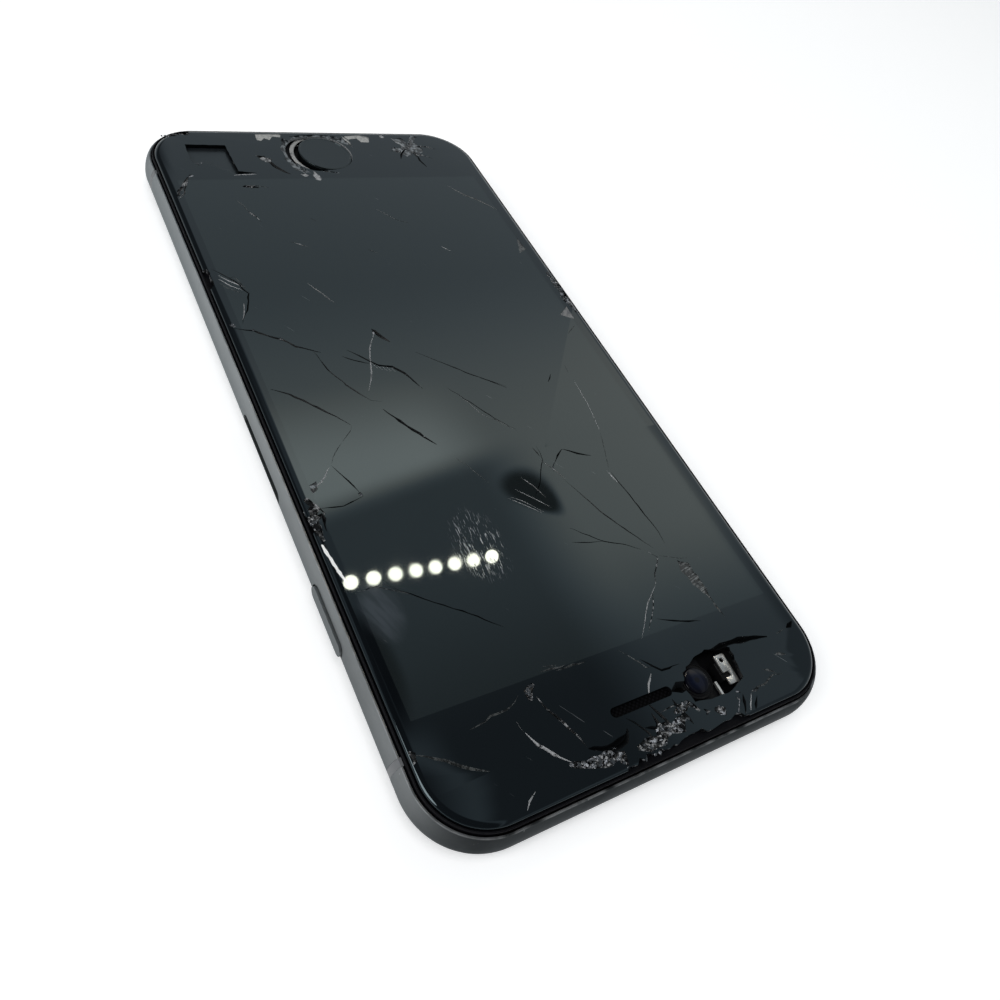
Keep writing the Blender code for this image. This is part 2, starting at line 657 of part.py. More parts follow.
def build_light_seal():
    """The black sheet behind the lower border of the glass, with a hole for the home button."""
    top = GASKET_BOTTOM - LAYER_GAP
    inset = FRAME_INNER + FIT_GAP
    whole = stack([body_ring(inset, top - LIGHT_SEAL_THICKNESS), body_ring(inset, top)])
    seal = add_object("lower_light_seal", whole, BLACK_PLASTIC)
    end_y = -SCREEN_HALF_LENGTH - PART_GAP
    rest = box_between((-BODY_WIDTH, end_y, top - CUT_REACH), (BODY_WIDTH, BODY_LENGTH, top + CUT_REACH))
    boolean(seal, add_object("light_seal_end_cutter", rest))
    below = (0.0, HOME_Y, top - CUT_REACH)
    above = (0.0, HOME_Y, top + CUT_REACH)
    hole = cylinder(HOME_RADIUS + HOME_SEAL_GAP, below, above, GASKET_SIDES)
    boolean(seal, add_object("light_seal_cutter", hole))


def glass_point(route_point):
    """A route's point, in metres, stretched with the glass."""
    x, y = route_point
    wide = 2 * (HALF_WIDTH - GLASS_INSET) / MARKED_WIDTH
    long = 2 * (HALF_LENGTH - GLASS_INSET) / MARKED_LENGTH
    return Vector((x * wide, y * long)) * ROUTE_UNIT


def sideways(points, index):
    """The direction across a route at one of its points, lengthened at a bend so that the width holds."""
    before = points[max(index - 1, 0)]
    here = points[index]
    after = points[min(index + 1, len(points) - 1)]
    first = (here - before) if index > 0 else (after - here)
    second = (after - here) if index < len(points) - 1 else first
    middle = (first.normalized() + second.normalized()).normalized()
    across = Vector((-middle.y, middle.x))
    return across / max(MITRE_LIMIT, middle.dot(second.normalized()))


def groove(points, width, depth):
    """A V-shaped cutter along a route on the top of the glass, narrow at its ends."""
    rings = []
    for index, point in enumerate(points):
        at_end = index in (0, len(points) - 1)
        share = CRACK_TIP if at_end else 1.0
        spread = (depth + CUT_REACH) / depth
        half = sideways(points, index) * width * share * spread / 2
        high = BODY_THICKNESS + CUT_REACH
        left = (point.x + half.x, point.y + half.y, high)
        right = (point.x - half.x, point.y - half.y, high)
        tip = (point.x, point.y, BODY_THICKNESS - depth * (1 + share) / 2)
        rings.append([left, right, tip])
    return stack(rings)


def through_cut(name, points):
    outline = [(point[0], point[1]) for point in points]
    return add_object(name, plate(outline, GLASS_BOTTOM - CUT_REACH, BODY_THICKNESS + CUT_REACH))


def around(centre, offsets):
    return [(centre[0] + x * ROUTE_UNIT, centre[1] + y * ROUTE_UNIT) for x, y in offsets]


def home_break():
    """The opening that is broken out round the home button."""
    points = []
    for degrees, gap in HOME_BREAK:
        radius = HOME_RADIUS + gap * ROUTE_UNIT
        angle = math.radians(degrees)
        points.append((radius * math.cos(angle), HOME_Y + radius * math.sin(angle)))
    return points


def build_glass():
    rings = [body_ring(GLASS_INSET, GLASS_BOTTOM)]
    rise = GLASS_THICKNESS - GLASS_EDGE_WALL
    for step in range(EDGE_STEPS + 1):
        angle = math.radians(90) * step / EDGE_STEPS
        inset = GLASS_INSET + GLASS_EDGE_ROUND * (1 - math.cos(angle))
        rings.append(body_ring(inset, GLASS_BOTTOM + GLASS_EDGE_WALL + rise * math.sin(angle)))
    glass = add_object("cover_glass", stack(rings), BLACK_GLASS)
    slot_radius = (EARPIECE_WIDTH - LAYER_GAP) / 2
    slot = rounded_outline(EARPIECE_LENGTH / 2, EARPIECE_WIDTH / 2, slot_radius, SLOT_STEPS, (0.0, TOP_ROW_Y))
    openings = [
        ("earpiece_slot_cutter", slot),
        ("home_opening_cutter", home_break()),
        ("camera_void_cutter", around((-CAMERA_OFFSET, TOP_ROW_Y), CAMERA_VOID)),
        ("stepped_hole_cutter", [glass_point(point) for point in STEPPED_HOLE]),
    ]
    for number, route in enumerate(EDGE_NOTCHES):
        openings.append((f"notch_cutter_{number}", [glass_point(point) for point in route]))
    for name, points in openings:
        boolean(glass, through_cut(name, points))
    for number, route in enumerate(CHIPS):
        outline = [tuple(glass_point(point)) for point in route]
        chip = plate(outline, BODY_THICKNESS - CHIP_DEPTH, BODY_THICKNESS + CUT_REACH)
        boolean(glass, add_object(f"chip_cutter_{number}", chip))
    kinds = [(CRACKS, CRACK_WIDTH, CRACK_DEPTH), (WIDE_CRACKS, WIDE_CRACK_WIDTH, WIDE_CRACK_DEPTH)]
    number = 0
    for routes, width, depth in kinds:
        for route in routes:
            points = [glass_point(point) for point in route]
            boolean(glass, add_object(f"crack_cutter_{number}", groove(points, width, depth)))
            number += 1
    return glass


def build_home_button():
    top = BODY_THICKNESS - HOME_SUNK
    button = add_object(
        "home_button",
        cylinder(HOME_RADIUS, (0.0, 0.0, -HOME_THICKNESS / 2), (0.0, 0.0, HOME_THICKNESS / 2), HOME_SIDES),
        BLACK_GLASS,
        smooth=True,
    )
    button.location = (0.0, HOME_Y, top - HOME_THICKNESS / 2)
    round_edges(button, LAYER_GAP)
    gasket_top = GASKET_BOTTOM + GASKET_THICKNESS
    inner = HOME_RADIUS + GASKET_FROM_BUTTON
    sections = [
        (inner, GASKET_BOTTOM),
        (inner, gasket_top),
        (inner + GASKET_WIDTH, gasket_top),
        (inner + GASKET_WIDTH, GASKET_BOTTOM),
    ]
    rings = []
    for radius, z in sections:
        rings.append([(x, y, z) for x, y in circle(radius, GASKET_SIDES, (0.0, HOME_Y))])
    add_object("home_button_gasket", closed_loop(rings), PALE_RUBBER)
    switch_top = top - HOME_THICKNESS - HOME_TRAVEL - LAYER_GAP
    bracket_top = switch_top - HOME_SWITCH_HEIGHT - LAYER_GAP
    dome = cylinder(HOME_SWITCH_RADIUS, (0.0, HOME_Y, bracket_top + LAYER_GAP), (0.0, HOME_Y, switch_top))
    add_object("home_button_switch", dome, STEEL)
    low_y = -HALF_LENGTH + FRAME_INNER + PART_GAP
    high_y = -SCREEN_HALF_LENGTH - PART_GAP - FIT_GAP
    low = (-HOME_BRACKET_WIDTH / 2, low_y, bracket_top - HOME_BRACKET_THICKNESS)
    high = (HOME_BRACKET_WIDTH / 2, high_y, bracket_top)
    add_object("home_button_bracket", box_between(low, high), STEEL)


def build_earpiece_and_camera():
    """The row behind the upper border: earpiece, front camera, light sensor and their bracket."""
    mesh_top = GLASS_BOTTOM - LAYER_GAP
    mesh_bottom = mesh_top - MESH_THICKNESS
    mesh_outline = rounded_outline(
        EARPIECE_LENGTH / 2 + PART_GAP, EARPIECE_WIDTH / 2 + PART_GAP, EARPIECE_WIDTH / 2, SLOT_STEPS,
        (0.0, TOP_ROW_Y)
    )
    add_object("earpiece_mesh", plate(mesh_outline, mesh_bottom, mesh_top), CELL_BLACK)
    camera_top = GLASS_BOTTOM - FIT_GAP
    camera_bottom = camera_top - CAMERA_HEIGHT
    speaker_top = mesh_bottom - LAYER_GAP
    speaker_bottom = speaker_top - SPEAKER_HEIGHT
    low = (-SPEAKER_LENGTH / 2, TOP_ROW_Y - SPEAKER_WIDTH / 2, speaker_bottom)
    high = (SPEAKER_LENGTH / 2, TOP_ROW_Y + SPEAKER_WIDTH / 2, speaker_top)
    add_object("earpiece_speaker", box_between(low, high), CELL_BLACK)
    centre = (-SPEAKER_LENGTH / 2 - PART_GAP - CAMERA_BODY_WIDTH / 2, TOP_ROW_Y)
    half = CAMERA_BODY_WIDTH / 2
    low = (centre[0] - half, centre[1] - half, camera_bottom)
    high = (centre[0] + half, centre[1] + half, camera_bottom + CAMERA_BODY_HEIGHT)
    camera = add_object("front_camera", box_between(low, high), BLACK_PLASTIC)
    barrel = cylinder(
        CAMERA_BARREL_RADIUS,
        (-CAMERA_OFFSET, TOP_ROW_Y, camera_bottom + CAMERA_BODY_HEIGHT / 2),
        (-CAMERA_OFFSET, TOP_ROW_Y, camera_top),
    )
    boolean(camera, add_object("camera_barrel_solid", barrel), "UNION")
    lens_bottom = camera_top + LAYER_GAP
    lens_middle = lens_bottom + CAMERA_LENS_HEIGHT / 2
    lens_top = lens_bottom + CAMERA_LENS_HEIGHT
    lens_rings = []
    for radius, z in [
        (CAMERA_LENS_RADIUS, lens_bottom),
        (CAMERA_LENS_RADIUS, lens_middle),
        (CAMERA_LENS_RADIUS / 2, lens_top),
    ]:
        outline = circle(radius, ROUND_SIDES, (-CAMERA_OFFSET, TOP_ROW_Y))
        lens_rings.append([(x, y, z) for x, y in outline])
    add_object("front_camera_lens", stack(lens_rings), LENS_GLASS, smooth=True)
    build_sensors(camera_top)
    bracket_top = camera_bottom - LAYER_GAP
    left = -SENSOR_OFFSET - LIGHT_SENSOR_SIZE / 2
    low = (left, TOP_ROW_Y - TOP_BRACKET_WIDTH / 2, bracket_top - TOP_BRACKET_THICKNESS)
    high = (left + TOP_BRACKET_LENGTH, TOP_ROW_Y + TOP_BRACKET_WIDTH / 2, bracket_top)
    add_object("earpiece_bracket", box_between(low, high), STEEL)


def build_sensors(strip_top):
    strip_bottom = strip_top - TOP_BRACKET_THICKNESS
    half_width = SENSOR_STRIP_WIDTH / 2
    half_length = SENSOR_STRIP_LENGTH / 2
    low = (-SENSOR_OFFSET - half_width, TOP_ROW_Y - half_length, strip_bottom)
    high = (-SENSOR_OFFSET + half_width, TOP_ROW_Y + half_length, strip_top)
    strip = add_object("sensor_bracket", box_between(low, high), STEEL)
    hole_y = TOP_ROW_Y + half_length - 3 * SENSOR_HOLE_RADIUS
    below = (-SENSOR_OFFSET, hole_y, strip_bottom - FIT_GAP)
    above = (-SENSOR_OFFSET, hole_y, strip_top + FIT_GAP)
    hole = cylinder(SENSOR_HOLE_RADIUS, below, above, SMALL_SIDES)
    boolean(strip, add_object("sensor_hole_cutter", hole))
    half = LIGHT_SENSOR_SIZE / 2
    top = strip_bottom - LAYER_GAP
    bottom = strip_top - CAMERA_HEIGHT
    low = (-SENSOR_OFFSET - half, TOP_ROW_Y - half, bottom)
    high = (-SENSOR_OFFSET + half, TOP_ROW_Y + half, top)
    sensor = box_between(low, high)
    add_object("light_sensor", sensor, CELL_BLACK)


def build_push_button(name, side, from_top, length):
    """A flank key with a flange that keeps it in its hole, and its origin at the middle of its outer face."""
    outer = BUTTON_PROUD
    inner = CAVITY_X - HALF_WIDTH - FIT_GAP
    key_levels = [(inner, 0.0), (outer - BUTTON_EDGE, 0.0), (outer, BUTTON_EDGE)]
    key = pill_rings(length, BUTTON_HEIGHT, key_levels)
    flange_levels = [(inner - FLANGE_THICKNESS, 0.0), (inner, 0.0)]
    flange = pill_rings(length + 2 * FLANGE_OVERHANG, BUTTON_HEIGHT, flange_levels)
    turned = [[(side * x, y, z) for x, y, z in ring] for ring in flange + key]
    button = add_object(name, stack(turned), GREY_METAL, smooth=True)
    button.location = (side * HALF_WIDTH, HALF_LENGTH - from_top, BUTTON_Z)


def build_switch(name, side, places):
    """Dome switches behind the keys, and the plate that carries them."""
    flange_face = CAVITY_X - FIT_GAP - FLANGE_THICKNESS
    face = flange_face - BUTTON_TRAVEL - LAYER_GAP
    back = face - SWITCH_DEPTH
    half = BUTTON_HEIGHT / 2 - LAYER_GAP
    plate_low_y = min(places) - SWITCH_PLATE_OVERHANG
    plate_high_y = max(places) + SWITCH_PLATE_OVERHANG
    plate_back = back - SWITCH_PLATE_THICKNESS
    carrier = flank_box(side, (plate_back, back), (plate_low_y, plate_high_y), half)
    switch = add_object(name, carrier, STEEL)
    for number, y in enumerate(places):
        ys = (y - SWITCH_LENGTH / 2, y + SWITCH_LENGTH / 2)
        dome = flank_box(side, (back - LAYER_GAP, face), ys, half / 2)
        boolean(switch, add_object(f"{name}_dome_{number}", dome), "UNION")


def flank_box(side, distances, ys, half_height):
    """A box behind the flank on one side, at the height of the keys, from pairs of places along X and Y."""
    xs = sorted(side * distance for distance in distances)
    return box_between((xs[0], ys[0], BUTTON_Z - half_height), (xs[1], ys[1], BUTTON_Z + half_height))


def build_flank_controls():
    for name, side, from_top, length in flank_controls():
        if name != "ring_switch":
            build_push_button(name, side, from_top, length)
    build_switch("side_button_switch", 1, [HALF_LENGTH - SIDE_BUTTON_FROM_TOP])
    volume_places = [HALF_LENGTH - VOLUME_UP_FROM_TOP, HALF_LENGTH - VOLUME_DOWN_FROM_TOP]
    build_switch("volume_switches", -1, volume_places)
    build_ring_switch()


def build_ring_switch():
    """The lever at its upper stop, and the switch body that it slides on."""
    inner = CAVITY_X - HALF_WIDTH - FIT_GAP
    lever_length = RING_SLOT_LENGTH - 2 * LAYER_GAP
    levels = [(inner, 0.0), (RING_PROUD - LAYER_GAP, 0.0), (RING_PROUD, LAYER_GAP)]
    rings = pill_rings(lever_length, RING_LEVER_HEIGHT, levels)
    lever = add_object("ring_switch", stack([[(-x, y, z) for x, y, z in ring] for ring in rings]), GREY_METAL)
    y = HALF_LENGTH - RING_FROM_TOP
    rest_z = BUTTON_Z + RING_TRAVEL / 2
    lever.location = (-HALF_WIDTH, y, rest_z)
    face = CAVITY_X - 2 * FIT_GAP
    half = RING_SLOT_LENGTH / 2 + PART_GAP
    body = flank_box(-1, (face - SWITCH_DEPTH, face), (y - half, y + half), BUTTON_HEIGHT / 2)
    add_object("ring_switch_body", body, CELL_BLACK)


def build_card_reader():
    """A folded steel cage, open towards the slot in the flank."""
    outer_x = CAVITY_X - FIT_GAP
    half = CARD_SLOT_LENGTH / 2 + READER_MARGIN + READER_WALL
    low = (outer_x - READER_DEPTH, SLOT_Y - half, READER_BOTTOM)
    high = (outer_x, SLOT_Y + half, READER_TOP)
    cage = add_object("card_reader", box_between(low, high), STEEL)
    pocket = box_between(
        (outer_x - READER_DEPTH + 2 * READER_WALL, SLOT_Y - half + READER_WALL, READER_BOTTOM + READER_WALL),
        (outer_x + PART_GAP, SLOT_Y + half - READER_WALL, READER_TOP - READER_WALL),
    )
    boolean(cage, add_object("reader_pocket_cutter", pocket))


def build_board():
    top_y = BATTERY_TOP_Y
    bottom_y = BATTERY_BOTTOM_Y + BOARD_BELOW_BATTERY_TOP
    low = (BOARD_LEFT_X, bottom_y, MODULE_BOTTOM)
    high = (BOARD_RIGHT_X, top_y, BOARD_TOP)
    board = add_object("logic_board", box_between(low, high), BOARD_BLACK)
    screw_x = BOARD_LEFT_X + BOARD_SCREW_EDGE
    screw_places = (
        ("board_screw_top", top_y - BOARD_SCREW_EDGE),
        ("board_screw_bottom", bottom_y + BOARD_SCREW_EDGE),
    )
    for name, y in screw_places:
        reach = FIT_GAP + LAYER_GAP
        below = (screw_x, y, MODULE_BOTTOM - reach)
        above = (screw_x, y, BOARD_TOP + reach)
        hole = cylinder(BOARD_SCREW_RADIUS + LAYER_GAP, below, above, SMALL_SIDES)
        boolean(board, add_object(f"{name}_cutter", hole))
        build_board_screw(name, screw_x, y)
    shield_left = BOARD_LEFT_X + 2 * BOARD_SCREW_EDGE
    shield_right = BOARD_RIGHT_X - SHIELD_MARGIN
    reader_low_y = SLOT_Y - CARD_SLOT_LENGTH / 2 - READER_MARGIN - READER_WALL
    processor_top = reader_low_y - PART_GAP
    processor_low = processor_top - PROCESSOR_SHIELD_LENGTH
    build_shield("processor_shield", shield_left, shield_right, processor_low, processor_top)
    radio_top = HALF_LENGTH - RADIO_SHIELD_FROM_TOP
    build_shield("radio_shield", shield_left, shield_right, radio_top - RADIO_SHIELD_LENGTH, radio_top)
    build_display_connector(shield_left, radio_top)


def build_board_screw(name, x, y):
    seat = BOARD_TOP + LAYER_GAP
    rings = []
    for radius, z in [
        (BOARD_SCREW_RADIUS, BACK_WALL + LAYER_GAP),
        (BOARD_SCREW_RADIUS, seat),
        (BOARD_SCREW_HEAD_RADIUS, seat),
        (BOARD_SCREW_HEAD_RADIUS, seat + BOARD_SCREW_HEAD),
    ]:
        rings.append([(px, py, z) for px, py in circle(radius, SMALL_SIDES, (x, y))])
    add_object(name, stack(rings), STEEL)


def build_shield(name, left, right, low_y, high_y):
    """A pressed steel can over part of the board, open below."""
    bottom = BOARD_TOP + FIT_GAP
    top = bottom + SHIELD_HEIGHT
    shield = add_object(name, box_between((left, low_y, bottom), (right, high_y, top)), STEEL)
    inside = box_between(
        (left + SHIELD_WALL, low_y + SHIELD_WALL, bottom - FIT_GAP / 2),
        (right - SHIELD_WALL, high_y - SHIELD_WALL, top - SHIELD_WALL),
    )
    boolean(shield, add_object(f"{name}_cutter", inside))


def build_display_connector(left, high_y):
    """The plate over the display's connector, and the flex that runs from it under the display."""
    bottom = BOARD_TOP + FIT_GAP + SHIELD_HEIGHT + LAYER_GAP
    cover_high_y = high_y - SHIELD_MARGIN
    low = (left + SHIELD_MARGIN, cover_high_y - COVER_LENGTH, bottom)
    high = (left + SHIELD_MARGIN + COVER_WIDTH, cover_high_y, bottom + COVER_THICKNESS)
    add_object("connector_cover", box_between(low, high), STEEL)
    flex_bottom = bottom + COVER_THICKNESS + LAYER_GAP
    flex_left = left + 2 * SHIELD_MARGIN
    low = (flex_left, cover_high_y - DISPLAY_FLEX_LENGTH, flex_bottom)
    high = (flex_left + DISPLAY_FLEX_WIDTH, cover_high_y - SHIELD_MARGIN, flex_bottom + FLEX_THICKNESS)
    add_object("display_flex", box_between(low, high), COPPER_FLEX)


def build_battery():
    low = (-CAVITY_X + SIDE_BAY, BATTERY_BOTTOM_Y + PART_GAP, MODULE_BOTTOM)
    high = (BOARD_LEFT_X - PART_GAP, BATTERY_TOP_Y, MODULE_TOP)
    round_edges(add_object("battery", box_between(low, high), CELL_BLACK), BATTERY_EDGE, 2)


def build_rear_camera():
    x, y = rear_camera_place()
    trim_bottom = BACK_FLUSH
    trim_top = BACK_WALL
    rings = []
    for radius, z in [
        (TRIM_RADIUS, trim_bottom),
        (TRIM_RADIUS, trim_top),
        (TRIM_RADIUS - TRIM_WALL, trim_top),
        (TRIM_RADIUS - TRIM_WALL, trim_bottom),
    ]:
        rings.append([(px, py, z) for px, py in circle(radius, ROUND_SIDES, (x, y))])
    add_object("rear_camera_trim", closed_loop(rings), GREY_METAL)
    window_bottom = BACK_FLUSH + LAYER_GAP
    window_radius = TRIM_RADIUS - TRIM_WALL - LAYER_GAP
    window = cylinder(window_radius, (x, y, window_bottom), (x, y, window_bottom + WINDOW_THICKNESS))
    add_object("rear_camera_window", window, LENS_GLASS)
    flash_x = x - FLASH_OFFSET
    flash = cylinder(FLASH_RADIUS, (flash_x, y, BACK_FLUSH), (flash_x, y, BACK_WALL), HOLE_SIDES)
    add_object("flash_lens", flash, FLASH_YELLOW)
    half = REAR_CAMERA_SIZE / 2
    low = (x - half, y - half, MODULE_BOTTOM)
    high = (x + half, y + half, MODULE_BOTTOM + REAR_CAMERA_HEIGHT)
    round_edges(add_object("rear_camera_module", box_between(low, high), CELL_BLACK), PART_GAP)


def build_port_end():
    """Charging port, its flex, the microphone, the vibration motor, the loudspeaker and the end screws."""
    wall_y = -CAVITY_Y + FIT_GAP
    bay_top_y = BATTERY_BOTTOM_Y - PART_GAP
    half_width = PORT_WIDTH / 2 + PORT_WALL
    half_height = PORT_HEIGHT / 2 + PORT_WALL
    low = (-half_width, wall_y, PORT_CENTRE_HEIGHT - half_height)
    high = (half_width, wall_y + PORT_DEPTH, PORT_CENTRE_HEIGHT + half_height)
    port = add_object("charging_port", box_between(low, high), STEEL)
    pocket = box_between(
        (-PORT_WIDTH / 2, wall_y - PART_GAP, PORT_CENTRE_HEIGHT - PORT_HEIGHT / 2),
        (PORT_WIDTH / 2, wall_y + PORT_DEPTH - 2 * PORT_WALL, PORT_CENTRE_HEIGHT + PORT_HEIGHT / 2),
    )
    boolean(port, add_object("port_pocket_cutter", pocket))
    flex_low = (-half_width, wall_y + PORT_DEPTH + FIT_GAP, PORT_CENTRE_HEIGHT - half_height)
    flex_high = (half_width, bay_top_y, PORT_CENTRE_HEIGHT - half_height + COVER_THICKNESS)
    add_object("charging_flex", box_between(flex_low, flex_high), COPPER_FLEX)
    speaker_left = SCREW_OFFSET + SCREW_HEAD_RADIUS + PART_GAP
    module_low_y = wall_y + PART_GAP
    low = (speaker_left, module_low_y, MODULE_BOTTOM)
    high = (speaker_left + LOUDSPEAKER_WIDTH, bay_top_y, MODULE_TOP)
    round_edges(add_object("loudspeaker", box_between(low, high), CELL_BLACK), PART_GAP)
    motor_right = -SCREW_OFFSET - SCREW_HEAD_RADIUS - PART_GAP
    mic_high_y = module_low_y + MIC_LENGTH
    low = (motor_right - MOTOR_WIDTH, mic_high_y + PART_GAP, MODULE_BOTTOM)
    high = (motor_right, bay_top_y, MODULE_TOP)
    round_edges(add_object("vibration_motor", box_between(low, high), STEEL), PART_GAP)
    mic_right = -HOLES_FROM_MIDDLE + HOLE_RADIUS
    low = (mic_right - HOLE_PITCH * 2, module_low_y, PORT_CENTRE_HEIGHT - MIC_HEIGHT)
    high = (mic_right, mic_high_y, PORT_CENTRE_HEIGHT + MIC_HEIGHT / 2)
    add_object("bottom_microphone", box_between(low, high), STEEL)
    for name, side in (("bottom_screw_left", -1), ("bottom_screw_right", 1)):
        build_end_screw(name, side * SCREW_OFFSET)


def build_end_screw(name, x):
    head_y = -HALF_LENGTH + FIT_GAP
    rings = []
    for radius, y in [
        (SCREW_HEAD_RADIUS, head_y),
        (SCREW_HEAD_RADIUS, head_y + SCREW_HEAD_LENGTH),
        (SCREW_SHANK_RADIUS, head_y + SCREW_HEAD_LENGTH),
        (SCREW_SHANK_RADIUS, head_y + SCREW_LENGTH),
    ]:
        rings.append([(px, y, z) for px, z in circle(radius, SMALL_SIDES, (x, PORT_CENTRE_HEIGHT))])
    add_object(name, stack(rings), STEEL)


clear_scene()
PIECES = new_collection("shattered screen phone")
CUTTERS = new_collection("cutters", hidden=True)
build_housing()
build_antenna_bands()
build_display()
build_light_seal()
build_glass()
build_home_button()
build_earpiece_and_camera()
build_flank_controls()
build_card_reader()
build_board()
build_battery()
build_rear_camera()
build_port_end()
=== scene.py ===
"""The looks of a handset with a shattered screen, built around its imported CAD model.

Lengths are metres in the frame of the model: +Z out of the screen, +Y towards the end with the earpiece,
+X towards the flank with the side button. Routes and outlines on the glass are in millimetres, and each
class turns them into metres when it cuts or lays them.
"""

from __future__ import annotations

import json
import logging
import math
import random
from contextlib import contextmanager
from dataclasses import dataclass, field
from enum import Enum
from typing import Callable, Iterator, Sequence

import bmesh
import bpy
from mathutils import Matrix, Vector


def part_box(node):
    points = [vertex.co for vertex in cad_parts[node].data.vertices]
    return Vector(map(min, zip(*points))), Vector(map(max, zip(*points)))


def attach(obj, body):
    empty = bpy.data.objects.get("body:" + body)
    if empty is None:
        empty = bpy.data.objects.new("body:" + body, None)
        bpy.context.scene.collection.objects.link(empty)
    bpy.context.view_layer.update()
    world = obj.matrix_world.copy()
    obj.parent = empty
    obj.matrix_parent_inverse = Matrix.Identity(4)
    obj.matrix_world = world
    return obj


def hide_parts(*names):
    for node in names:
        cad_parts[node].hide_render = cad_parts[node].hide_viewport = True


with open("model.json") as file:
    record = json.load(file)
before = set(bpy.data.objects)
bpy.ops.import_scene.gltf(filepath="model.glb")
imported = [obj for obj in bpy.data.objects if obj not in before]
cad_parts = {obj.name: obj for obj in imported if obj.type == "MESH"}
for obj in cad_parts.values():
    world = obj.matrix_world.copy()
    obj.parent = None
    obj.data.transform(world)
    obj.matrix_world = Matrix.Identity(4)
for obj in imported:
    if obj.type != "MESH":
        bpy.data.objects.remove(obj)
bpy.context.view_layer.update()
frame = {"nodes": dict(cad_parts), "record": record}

LOG = logging.getLogger("handset")
MM = 0.001
Point = tuple[float, float]
Colour = tuple[float, float, float]
UP = Vector((0.0, 0.0, 1.0))
DOWN = -UP
HANDSET = "handset"
PILL_SPARE = 0.01 * MM
BAND_ENDS = ("top", "bottom")


class Signal:
    """A value on its way through a material, with the operators that its maths is written in."""

    def __init__(self, sheet: NodeSheet, socket: bpy.types.NodeSocket) -> None:
        """Wraps one output socket of a node sheet."""
        self.sheet = sheet
        self.socket = socket

    def _math(self, operation: str, *values: Signal | float) -> Signal:
        """Adds one Math node.

        Args:
            operation: the Math node's operation.
            values: its inputs in order.

        Returns:
            The node's result.
        """
        return self.sheet.node("ShaderNodeMath", {"operation": operation}, dict(enumerate(values)))

    def __add__(self, other: Signal | float) -> Signal:
        """self + other."""
        return self._math("ADD", self, other)

    __radd__ = __add__

    def __sub__(self, other: Signal | float) -> Signal:
        """self - other."""
        return self._math("SUBTRACT", self, other)

    def __rsub__(self, other: Signal | float) -> Signal:
        """other - self."""
        return self._math("SUBTRACT", other, self)

    def __mul__(self, other: Signal | float) -> Signal:
        """self * other."""
        return self._math("MULTIPLY", self, other)

    __rmul__ = __mul__

    def __truediv__(self, other: Signal | float) -> Signal:
        """self / other."""
        return self._math("DIVIDE", self, other)

    def __abs__(self) -> Signal:
        """The value without its sign."""
        return self._math("ABSOLUTE", self)

    def __pow__(self, other: float) -> Signal:
        """self ** other."""
        return self._math("POWER", self, other)

    def sine(self) -> Signal:
        """The sine of the value, taken as radians."""
        return self._math("SINE", self)

    def least(self, other: Signal | float) -> Signal:
        """The smaller of two values."""
        return self._math("MINIMUM", self, other)

    def most(self, other: Signal | float) -> Signal:
        """The larger of two values."""
        return self._math("MAXIMUM", self, other)

    def ramp(self, low: float, high: float) -> Signal:
        """A smooth step from 0 at low to 1 at high.

        Args:
            low: the value where the step starts.
            high: the value where it ends.

        Returns:
            A value from 0 to 1.
        """
        values = {"Value": self, "From Min": low, "From Max": high}
        return self.sheet.node("ShaderNodeMapRange", {"interpolation_type": "SMOOTHSTEP"}, values)


